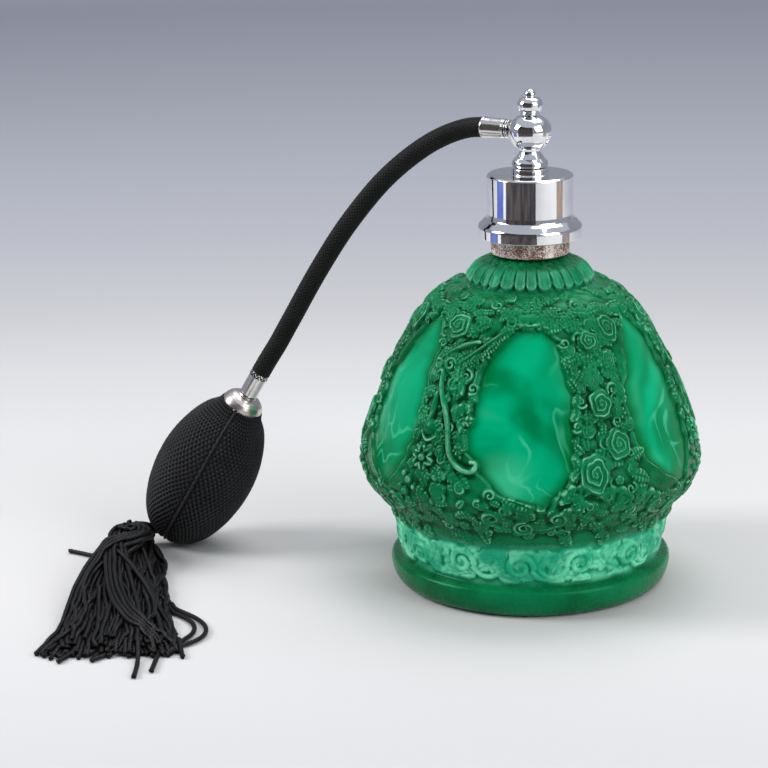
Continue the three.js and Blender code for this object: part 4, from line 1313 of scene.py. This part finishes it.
# Outside radius of the net at each depth below the neck
NET_OUTLINE = [
    (7.15, -0.9), (7.45, 0.1), (7.9, 1.2), (10.34, 4.2), (12.18, 7.2), (13.53, 10.2), (14.55, 13.2),
    (15.4, 16.2), (16.0, 19.2), (16.4, 22.2), (16.6, 25.6), (16.57, 28.2), (16.42, 31.2), (16.0, 34.2),
    (15.5, 37.2), (14.76, 40.2), (13.8, 43.2), (12.55, 46.2), (10.75, 49.2), (8.3, 52.0), (5.2, 54.0),
    (2.9, 54.9),
]
NET_WALES = 58
NET_COURSES = 50
WALE_COLUMNS = 8
COURSE_ROWS = 7
STITCH_HEIGHT = 0.62
NET_STEP = 0.2
NET_WALL = 0.91
NET_INNER_LEAST_R = 1.2
SEAM_DEG = -87
SEAM_HALF = 0.30
# A squeeze's dent: the depth of its middle, where the net is split in two
DENT_DEPTH = 28


def stitch_height(wale, course):
    """Height from 0 to 1 of a purl knit: rows of crescents, each row half a stitch along from the last."""
    height = np.zeros(np.broadcast(wale, course).shape)
    for shift in (-1, 0, 1):
        row = np.floor(course) + shift
        along = wale + 0.5 * (row % 2)
        arch = 0.24 * np.cos(2 * np.pi * along)
        off = course - row - 0.5 - arch
        cord = np.sqrt(np.clip(1 - (off / 0.46) ** 2, 0, 1))
        height = np.maximum(height, cord * (0.42 + 0.58 * np.cos(np.pi * along) ** 2))
    return height


def net_height(angle, wale, course, r):
    """Height of the net's surface: wandering rows of stitches, and an overcast seam along the bulb."""
    wander = 0.25 * np.sin(angle * 3 + course * 0.21) + 0.12 * np.sin(angle * 7 - course * 0.4)
    height = stitch_height(wale + 0.18 * np.sin(course * 0.33 + angle), course + wander)
    seam = np.radians(SEAM_DEG) + 0.05 * np.sin(np.pi * course / NET_COURSES)
    off = ((angle - seam + np.pi) % (2 * np.pi) - np.pi) * r
    on_seam = np.exp(-(off / SEAM_HALF) ** 4)
    overcast = 0.55 + 0.45 * np.cos(2 * np.pi * (1.6 * course + 0.35 * off))
    cord = 0.80 * np.sqrt(np.clip(1 - (off / 0.6) ** 2, 0, 1)) + 0.30 * overcast
    beside = np.exp(-((np.abs(off) - 0.75) / 0.30) ** 2)
    return height * (1 - on_seam) * (1 - 0.8 * beside) + on_seam * cord


def knitted_net():
    outline = spline(NET_OUTLINE, NET_STEP)
    length = np.arange(len(outline)) * NET_STEP
    rows = NET_COURSES * COURSE_ROWS + 1
    columns = NET_WALES * WALE_COLUMNS
    even = np.linspace(0, length[-1], rows)
    r = np.interp(even, length, outline[:, 0])
    depth = np.interp(even, length, outline[:, 1])
    course = np.linspace(0, NET_COURSES, rows)[:, None]
    wale = np.linspace(0, NET_WALES, columns, endpoint=False)[None, :]
    angle = 2 * np.pi * wale / NET_WALES
    height = net_height(angle, wale, course, r[:, None])
    slope_r, slope_d = np.gradient(r), np.gradient(depth)
    size = np.hypot(slope_r, slope_d)
    lift = STITCH_HEIGHT * (height - 0.75)
    outer_r = r[:, None] + lift * (slope_d / size)[:, None]
    outer_h = -(depth[:, None] - lift * (slope_r / size)[:, None])
    outer = BULB.points(outer_r, angle, outer_h)
    course_depth = depth[::COURSE_ROWS]
    inner_r = np.maximum(r[::COURSE_ROWS] - NET_WALL, NET_INNER_LEAST_R)
    inner = BULB.points(np.repeat(inner_r[:, None], columns, 1), angle, -course_depth[:, None])
    split = int(np.argmin(np.abs(course_depth - DENT_DEPTH)))
    row = split * COURSE_ROWS
    net_half("knitted_net_upper", outer[:row + 1], inner[:split + 1], height[:row + 1])
    net_half("knitted_net_lower", outer[row:], inner[split:], height[row:])


def net_half(name, outer, inner, height):
    """One half of the net, closed at its ends."""
    rows, columns = outer.shape[:2]
    inner_rows = len(inner)
    start = rows * columns
    last = (rows - 1) * columns
    inner_last = start + (inner_rows - 1) * columns
    j = np.arange(columns)
    k = (j + 1) % columns
    ends = 2 * columns
    quads = np.vstack([
        ring_quads(rows, columns)[:, ::-1],
        ring_quads(inner_rows, columns, start=start),
        np.stack([j, k, start + k, start + j], 1),
        np.stack([last + k, last + j, inner_last + j, inner_last + k], 1),
    ])
    obj = make_mesh(name, np.vstack([outer.reshape(-1, 3), inner.reshape(-1, 3)]), quads)
    obj.data.polygons.foreach_set("use_smooth", np.arange(len(quads)) < len(quads) - ends)
    set_attribute(obj, "crest", np.concatenate([height.ravel(), np.zeros(inner_rows * columns)]))
    obj.data.materials.append(LOOKS["black_knit"])
    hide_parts("bulb_net")
    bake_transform(obj)


# ---- tassel ----------------------------------------------------------------------------------------------

STRAND_R = 0.80
STRAND_COUNT = 96
STRAND_NODE = 1.7
STRAND_STEP = 0.55
STRAND_SIDES = 10
STRAND_TWIST = 2.9
# Cross-sections of the skirt: x and y of the centre, half width and height
SKIRT_SECTIONS = [
    (-128.4, -37.8, 5.0, 8.2), (-126.2, -43.6, 9.4, 11.8), (-121.4, -54.4, 12.2, 12.2),
    (-115.4, -65.6, 13.2, 10.8), (-109.2, -75.8, 14.0, 9.8), (-102.6, -86.8, 15.2, 8.8),
    (-95.4, -98.0, 16.0, 7.6), (-88.2, -109.8, 17.0, 6.2), (-79.2, -125.4, 20.2, 3.6),
]
# The binding's ends, as the CAD model has them
BINDING_ENDS = [(-127.9, -30.2, 4.6), (-129.4, -36.3, 6.6)]
NET_TAIL = BULB_NECK - 54.0 * BULB_AXIS
RELAX_STEPS = 60


def skirt_frame():
    centres = np.array(SKIRT_SECTIONS)[:, :2]
    along = np.gradient(centres, axis=0)
    along /= np.linalg.norm(along, axis=1, keepdims=True)
    return centres, np.stack([-along[:, 1], along[:, 0]], 1)


def strand_plan(rng):
    """Each strand's place across the skirt, height in the pile, sideways drift and share of length."""
    plans = []
    for _ in range(STRAND_COUNT):
        across = rng.uniform(-1, 1)
        high = rng.random() ** 0.8
        top = high > 0.62
        drift = rng.uniform(-0.95, 0.8) if top else rng.uniform(-0.2, 0.2)
        plans.append((across, high, drift, rng.uniform(0.91, 1.0)))
    return plans


def strand_routes():
    rng = np.random.default_rng(21)
    centres, sides = skirt_frame()
    widths, heights = np.array(SKIRT_SECTIONS)[:, 2:].T
    start, end = np.array(BINDING_ENDS)
    out = unit(end - start)
    lateral = unit(np.cross(out, (0, 0, 1)))
    upward = np.cross(lateral, out)
    routes = []
    for across, high, drift, share in strand_plan(rng):
        points = [start + out * 1.0 + 1.5 * (across * lateral + (high - 0.5) * upward),
                  end + 2.0 * (across * lateral + 0.9 * (2 * high - 1) * upward)]
        phase, wave = rng.uniform(0, 6.3), rng.uniform(0.8, 2.2)
        swing = rng.uniform(0.8, 2.8)
        curl = rng.uniform(0, 0.7)
        for i in range(len(centres)):
            t = i / (len(centres) - 1)
            place = across + drift * smooth(0.1, 0.9, t)
            limit = 0.94 * math.sqrt(max(0.05, 1 - 0.75 * high ** 2))
            place = limit * place if abs(place) <= 1 else limit * math.copysign(1, place)
            sway = swing * math.sin(phase + wave * 2 * math.pi * t) * smooth(0.1, 0.4, t)
            flat = centres[i] + sides[i] * (place * widths[i] + sway)
            lift = curl * math.sin(2.3 * phase + 9 * t)
            level = STRAND_R + high * (heights[i] - 2 * STRAND_R) * (1 - 0.35 * place ** 2) + lift
            points.append([flat[0], flat[1], max(STRAND_R, level)])
        route = spline(points, STRAND_NODE)
        routes.append(route[:max(8, int(share * len(route)))])
    return routes + special_strands()


def special_strands():
    """The strands that stand out: a stray end, a loop on top, loops at the side, cut ends in front."""
    r = STRAND_R
    stray = [(-129.4, -36.4, 7.0), (-129.8, -40.5, 9.5), (-131.5, -45.0, 7.0), (-134.5, -48.6, 3.4),
             (-138.4, -49.5, r), (-142.5, -49.0, r), (-147.0, -48.9, r)]
    hump = [(-129.2, -36.4, 7.5), (-129.4, -40.0, 11.4), (-127.6, -45.6, 13.8), (-124.4, -51.0, 14.0),
            (-121.6, -51.8, 14.6), (-120.8, -48.6, 15.0), (-123.2, -47.2, 15.2), (-125.0, -51.6, 13.0),
            (-121.5, -60.0, 12.2), (-112.0, -74.0, 10.6), (-99.0, -90.0, 8.2), (-90.0, -104.0, 6.2),
            (-86.5, -117.0, 3.4), (-85.0, -127.0, r)]
    side = [(-128.4, -36.8, 6.0), (-121.0, -42.5, 8.4), (-112.6, -47.6, 6.0), (-107.6, -52.4, 3.2),
            (-107.9, -57.6, 2.6), (-112.0, -62.0, 5.0), (-111.0, -70.0, 8.4), (-101.5, -83.0, 8.0),
            (-95.0, -98.0, 6.0), (-93.5, -113.0, 3.6), (-93.0, -128.0, 1.2), (-92.1, -134.4, r)]
    outer = [(-128.2, -37.4, 7.0), (-119.0, -50.0, 10.5), (-106.5, -64.0, 8.0), (-96.0, -75.5, 3.4),
             (-87.1, -80.4, r), (-76.3, -84.3, r), (-67.6, -90.6, r), (-64.2, -97.5, r), (-64.9, -104.6, r),
             (-70.4, -111.0, r + 0.3), (-79.0, -114.6, r + 1.8), (-88.0, -118.8, r + 2.0),
             (-97.0, -122.8, r + 1.0)]
    inner = [(-128.8, -37.0, 6.4), (-117.0, -56.0, 8.0), (-103.0, -71.5, 5.4), (-91.0, -81.5, 1.6),
             (-82.3, -84.6, r), (-73.6, -89.0, r), (-68.9, -95.4, r), (-68.3, -103.0, r + 0.2),
             (-74.5, -109.0, r + 1.4), (-83.0, -112.0, r + 3.0), (-93.0, -114.0, r + 3.2),
             (-104.0, -115.6, r + 1.4)]
    front = [(-129.2, -37.0, 6.5), (-124.0, -50.0, 12.6), (-112.0, -68.0, 11.4), (-97.0, -86.0, 9.6),
             (-84.0, -103.0, 7.2), (-75.0, -117.0, 4.6), (-68.5, -128.0, 1.8), (-65.1, -134.8, r)]
    right_ends = [
        [(-128.6, -37.2, 6.0), (-118.0, -52.0, 9.0), (-102.0, -74.0, 7.2), (-86.0, -95.0, 5.0),
         (-74.0, -110.0, 3.0), (-67.0, -120.0, 1.4), (-63.0, -128.6, r)],
        [(-128.2, -37.6, 5.4), (-114.0, -55.0, 7.5), (-98.0, -76.0, 5.4), (-82.0, -93.0, 3.4),
         (-70.0, -104.5, 1.6), (-60.6, -115.0, r)],
    ]
    crossing = [
        [(-129.6, -37.2, 8.0), (-129.2, -46.0, 12.6), (-123.0, -60.0, 12.8), (-108.0, -72.0, 12.0),
         (-92.0, -84.0, 8.0), (-82.0, -98.0, 6.0), (-80.5, -112.0, 4.4), (-83.8, -129.4, r)],
        [(-128.0, -37.0, 8.0), (-119.0, -47.0, 11.4), (-113.5, -60.0, 12.4), (-117.0, -74.0, 10.6),
         (-113.0, -90.0, 8.2), (-103.0, -104.0, 6.4), (-99.0, -118.0, 4.0), (-99.9, -131.7, r)],
    ]
    routes = [stray, hump, side, outer, inner, front, *right_ends, *crossing]
    for k in range(7):
        out, up = 1.5 * (k % 4), 1.5 * (k // 4)
        routes.append([(-128.6, -37.0, 7.5), (-121.0 + out, -45.0, 12.2 + up),
                       (-117.6 + out, -52.0, 13.2 + up), (-121.0 + out, -60.5, 13.0 + up),
                       (-121.4 + out, -74.0, 10.0 + up),
                       (-116.4 + out, -90.0, 6.6 + up), (-110.0 + 1.4 * out, -105.0, 3.8 + up),
                       (-104.6 + 1.6 * out, -117.0, 1.8 + up), (-101.2 + 1.8 * out, -129.6 - 0.6 * k, r)])
    for k in range(4):
        out = 1.7 * k
        routes.append([(-129.0, -37.2, 8.0), (-120.0 - out, -57.0, 12.8), (-109.0 - out, -76.0, 11.4),
                       (-99.0, -90.0 - out, 9.8), (-90.0, -98.6 - out, 8.6), (-79.5, -104.6 - out, 6.2),
                       (-71.0, -109.0 - out, 3.2), (-64.6 - 0.8 * out, -112.6 - out, r)])
    return [spline(route, STRAND_NODE) for route in routes]


def bulb_push(points):
    """Moves points out of the bulb, whose radius grows with height along its axis."""
    depth_r = np.array(NET_OUTLINE)
    off = points - BULB_NECK
    depth = -(off @ BULB_AXIS)
    radial = off + depth[:, None] * BULB_AXIS
    distance = np.linalg.norm(radial, axis=1)
    wall = np.interp(depth, depth_r[:, 1], depth_r[:, 0], left=0, right=0) + STRAND_R + 0.3
    inside = (distance < wall) & (depth > 0) & (depth < 54)
    scale = np.where(inside, wall / np.maximum(distance, 0.1), 1.0)
    return points + radial * (scale - 1)[:, None]


def relax(routes):
    """Lets the strands settle: they keep their length, lie on the surface and rest on each other."""
    sizes = [len(route) for route in routes]
    ends = np.cumsum(sizes)
    starts = ends - sizes
    points = np.vstack(routes)
    strand = np.repeat(np.arange(len(routes)), sizes)
    order = np.concatenate([np.arange(n) for n in sizes])
    held = order < 3
    linked = np.flatnonzero(strand[1:] == strand[:-1])
    rest = np.linalg.norm(points[linked + 1] - points[linked], axis=1)
    inner = np.flatnonzero((strand[2:] == strand[:-2])) + 1
    home = points.copy()
    spread = 2 * STRAND_R * 0.97
    for _ in range(RELAX_STEPS):
        points[:, 2] -= 0.06
        points += 0.02 * (home - points)
        tree = KDTree(len(points))
        for i, p in enumerate(points):
            tree.insert(p, i)
        tree.balance()
        push = np.zeros_like(points)
        count = np.zeros(len(points))
        for i, p in enumerate(points):
            for other, j, distance in tree.find_range(p, spread):
                if j <= i or (strand[i] == strand[j] and abs(order[i] - order[j]) < 4):
                    continue
                away = (p - np.array(other)) / max(distance, 1e-3)
                move = 0.5 * (spread - distance) * away
                push[i] += move
                push[j] -= move
                count[i] += 1
                count[j] += 1
        points += push / np.maximum(1, 0.6 * count)[:, None]
        middle = (points[inner - 1] + points[inner + 1]) / 2
        points[inner] += 0.12 * (middle - points[inner])
        for _ in range(3):
            for parity in (0, 1):
                pair = linked[(order[linked] % 2) == parity]
                want = rest[(order[linked] % 2) == parity]
                gap = points[pair + 1] - points[pair]
                size = np.linalg.norm(gap, axis=1, keepdims=True)
                fix = 0.5 * (size - want[:, None]) * gap / np.maximum(size, 1e-6)
                points[pair] += fix
                points[pair + 1] -= fix
        points = bulb_push(points)
        points[:, 2] = np.maximum(points[:, 2], STRAND_R + 0.03)
        points[held] = home[held]
    return [points[a:b] for a, b in zip(starts, ends)]


def twisted_cords(name, routes, radius, twist, step, sides):
    """One mesh of two-ply twisted cords with cut, slightly opened ends."""
    all_points, all_quads, all_caps, crests = [], [], [], []
    count = 0
    for index, route in enumerate(routes):
        centre = spline(route, step)
        x, y = frames_along(centre)
        rows = len(centre)
        along = np.arange(rows) * step
        angle = np.linspace(0, 2 * np.pi, sides, endpoint=False)[None, :]
        lobe = 0.5 + 0.5 * np.cos(2 * (angle - 2 * np.pi * along[:, None] / twist - index))
        end_flare = 1 + 0.12 * smooth(1.6, 0.2, along[-1] - along)[:, None]
        size = radius * (0.68 + 0.32 * lobe) * end_flare
        points = (centre[:, None] + (size * np.cos(angle))[..., None] * x[:, None]
                  + (size * np.sin(angle))[..., None] * y[:, None])
        all_points.append(points.reshape(-1, 3))
        all_quads.append(ring_quads(rows, sides, start=count))
        all_caps.append(range(count, count + sides)[::-1])
        crests.append(lobe.ravel())
        count += rows * sides
        all_caps.append(range(count - sides, count))
    obj = make_mesh(name, np.vstack(all_points), np.vstack(all_quads), all_caps)
    set_attribute(obj, "crest", np.concatenate(crests))
    return obj


def tassel():
    routes = strand_routes()
    routes = relax(routes)
    obj = twisted_cords("tassel_strands", routes, STRAND_R, STRAND_TWIST, STRAND_STEP, STRAND_SIDES)
    finish_piece(obj, "bulb", "black_rayon", "tassel_skirt")

    start, end = np.array(BINDING_ENDS)
    length = np.linalg.norm(end - start)
    turns, wall, thread_r = 9, 2.75, 0.5
    outline = [(0, -0.4), (1.6, -0.4)]
    for i in range(turns):
        share = (i + 0.5) / turns
        bulge = wall + 0.25 * math.sin(math.pi * share)
        around = np.linspace(-1.2, 1.2, 6)
        outline += [(bulge + thread_r * math.cos(a), length * share + thread_r * math.sin(a)) for a in around]
    outline += [(1.6, length + 0.3), (0, length + 0.3)]
    obj = lathe("binding_wraps", Axis(start, end - start), outline, 72)
    set_attribute(obj, "crest", np.full(len(obj.data.vertices), 0.6))
    finish_piece(obj, "bulb", "black_rayon", "tassel_binding")

    side = unit(np.cross(end - start, (0, 0, 1)))
    ties = []
    for k in (-1.0, -0.33, 0.33, 1.0):
        ties.append([NET_TAIL + BULB_AXIS * 2 + side * k, NET_TAIL - BULB_AXIS * 0.4 + side * k,
                     (NET_TAIL + start) / 2 + side * 1.1 * k + (0, 0, 0.7), start + side * 1.2 * k,
                     start + (end - start) * 0.3 + side * 1.2 * k])
    obj = twisted_cords("tail_cords", [spline(t, 0.6) for t in ties], 0.75, STRAND_TWIST, 0.4, STRAND_SIDES)
    finish_piece(obj, "bulb", "black_rayon")


# ---- pieces that keep their CAD shape --------------------------------------------------------------------

CAD_LOOKS = {
    "neck_cement": "plaster",
    "air_jet": "brass",
    "outlet_valve_body": "brass",
    "intake_valve_body": "brass",
    "outlet_valve_ball": "steel",
    "intake_valve_ball": "steel",
    "bulb_fixed_half": "rubber",
    "bulb_pressed_half": "rubber",
}


def carried_over():
    for node, look in CAD_LOOKS.items():
        obj = frame["nodes"][node]
        obj.data.materials.clear()
        obj.data.materials.append(LOOKS[look])


neck_ring()
collar()
thread_insert()
washer("cork_gasket", "neck_gasket", 3.5, 11.6, 0.12)
washer("cork_washer", "swivel_washer", 3.4, 9.5, 0.10)
stem_and_tube()
ferrules(spray_head())
finial()
bulb_collar()
knitted_net()
tassel()
carried_over()


# ---- stage -----------------------------------------------------------------------------------------------

FLOOR_Z = -0.05
FLOOR_R = 2600
WALL_R = 700
WALL_TOP = 2600
SWEEP_SEGMENTS = 96
AIM = (0, 0, 0.08)


def from_camera_side(turn_deg, distance, height):
    """A point round the object, turned to the right of the camera's direction, in metres."""
    a = CAMERA_AZIMUTH + math.radians(turn_deg)
    return Vector((distance * math.sin(a), -distance * math.cos(a), height))


def sweep():
    """Floor that curves up into a wall all round, pale near the camera and blue-grey beyond the object. The
    blue-grey tint is the backdrop's own, and the brightness is painted light: set by distance from the
    camera's foot and by height, it is brightest in a band at the object's distance and paler again up the
    wall.
    """
    outline = [(r, FLOOR_Z) for r in np.geomspace(30, FLOOR_R, 24)]
    centre = (FLOOR_R, FLOOR_Z + WALL_R)
    outline += [(centre[0] + WALL_R * math.sin(a), centre[1] - WALL_R * math.cos(a))
                for a in np.linspace(0, math.pi / 2, 14)[1:]]
    outline.append((FLOOR_R + WALL_R, WALL_TOP))
    outline = np.array(outline)
    angle = np.linspace(0, 2 * np.pi, SWEEP_SEGMENTS, endpoint=False)
    points = UPRIGHT.points(outline[:, :1], angle[None, :], outline[:, 1:]).reshape(-1, 3)
    hub = list(range(SWEEP_SEGMENTS))
    obj = make_mesh("sweep", points, ring_quads(len(outline), SWEEP_SEGMENTS), [hub])
    look = Look("sweep", Roughness=0.85, Specular_IOR_Level=0.2)
    apart = look.add("SeparateXYZ", Vector=look.place)
    foot = from_camera_side(0, CAMERA_DISTANCE * MM, 0)
    dx = look.math("SUBTRACT", apart.outputs[0], foot.x)
    dy = look.math("SUBTRACT", apart.outputs[1], foot.y)
    far = look.math("SQRT", look.math("ADD", look.times(dx, dx), look.times(dy, dy)))
    rise = look.times(apart.outputs[2], 1.2)
    # Painted light: the ramp's brightness follows the studio lights' falloff over floor and wall.
    tone_with_painted_falloff = look.ramp(look.math("DIVIDE", look.math("ADD", far, rise), 3.0, clamp=True), [
        (0.000, (0.48, 0.475, 0.48)), (0.170, (0.545, 0.54, 0.54)), (0.220, (0.553, 0.547, 0.547)),
        (0.240, (0.585, 0.578, 0.576)), (0.266, (0.612, 0.602, 0.593)), (0.293, (0.606, 0.599, 0.588)),
        (0.325, (0.590, 0.588, 0.582)), (0.358, (0.533, 0.525, 0.530)), (0.393, (0.448, 0.450, 0.458)),
        (0.440, (0.398, 0.402, 0.436)), (0.527, (0.364, 0.374, 0.420)), (0.610, (0.350, 0.358, 0.405)),
        (0.763, (0.352, 0.364, 0.425)), (0.850, (0.46, 0.465, 0.51)), (1.000, (0.68, 0.68, 0.71)),
    ])
    look.set(Base_Color=tone_with_painted_falloff, Normal=look.bump(look.noise(700, 3), 0.00005, 0.15))
    obj.data.materials.append(look.material)


def softbox(name, turn_deg, distance, height, width, tall, watts):
    data = bpy.data.lights.new(name, "AREA")
    data.shape = "RECTANGLE"
    data.size = width
    data.size_y = tall
    data.energy = watts
    light = bpy.data.objects.new(name, data)
    light.location = from_camera_side(turn_deg, distance, height)
    light.rotation_mode = "QUATERNION"
    light.rotation_quaternion = (Vector(AIM) - light.location).to_track_quat("-Z", "Y")
    light.visible_camera = False
    bpy.context.scene.collection.objects.link(light)


def card(name, turns_deg, radii, heights, color, streaked_reflection):
    """A curved card round the object that shows only in reflections: it casts no shadow and lights nothing,
    so its dark and streaked colours are painted reflections in the shiny parts.
    """
    steps = 12
    angles = CAMERA_AZIMUTH + np.radians(np.linspace(*turns_deg, steps))
    rows = [np.stack([r * np.sin(angles), -r * np.cos(angles), np.full(steps, h)], 1)
            for r, h in zip(radii, heights)]
    quads = [[i * steps + j, i * steps + j + 1, (i + 1) * steps + j + 1, (i + 1) * steps + j]
             for i in range(len(rows) - 1) for j in range(steps - 1)]
    obj = make_mesh(name, np.vstack(rows), quads)
    look = Look(name, Roughness=0.9, Specular_IOR_Level=0.1)
    upright = look.add("Mapping", Vector=look.place, Scale=(1, 1, 0.05)).outputs[0]
    streaks = look.noise(9, 3, 0.6, 0.0, upright)
    look.set(Base_Color=look.mix(look.span(streaks, 0.38, 0.62), color, streaked_reflection))
    obj.data.materials.append(look.material)
    obj.visible_camera = False
    obj.visible_diffuse = False
    obj.visible_shadow = False


def light_the_set():
    softbox("right_softbox", 51.5, 1.15, 0.70, 0.85, 0.95, 11)
    softbox("left_key", -84, 1.15, 0.80, 0.50, 0.60, 12)
    softbox("top_softbox", 150, 0.5, 1.45, 1.2, 1.0, 13)
    # Reflection-only sheets: painted dark and coloured reflections for the chrome and glass.
    card("camera_side_reflection_sheet", (-66, 15), (330, 700, 1250, 1500, 1500), (2, 2, 2, 250, 1500), (0.026, 0.028, 0.036),
         (0.095, 0.076, 0.068))
    card("left_reflection_sheet", (-97, -74), (330, 1250), (2, 2), (0.055, 0.090, 0.32), (0.10, 0.14, 0.36))
    card("right_reflection_sheet", (74, 96), (330, 1250), (2, 2), (0.20, 0.185, 0.185), (0.36, 0.25, 0.18))
    world = bpy.data.worlds.new("studio")
    world.use_nodes = True
    bpy.context.scene.world = world
    background = world.node_tree.nodes["Background"]
    background.inputs["Color"].default_value = (0.62, 0.66, 0.74, 1)
    background.inputs["Strength"].default_value = 0.75


sweep()
light_the_set()
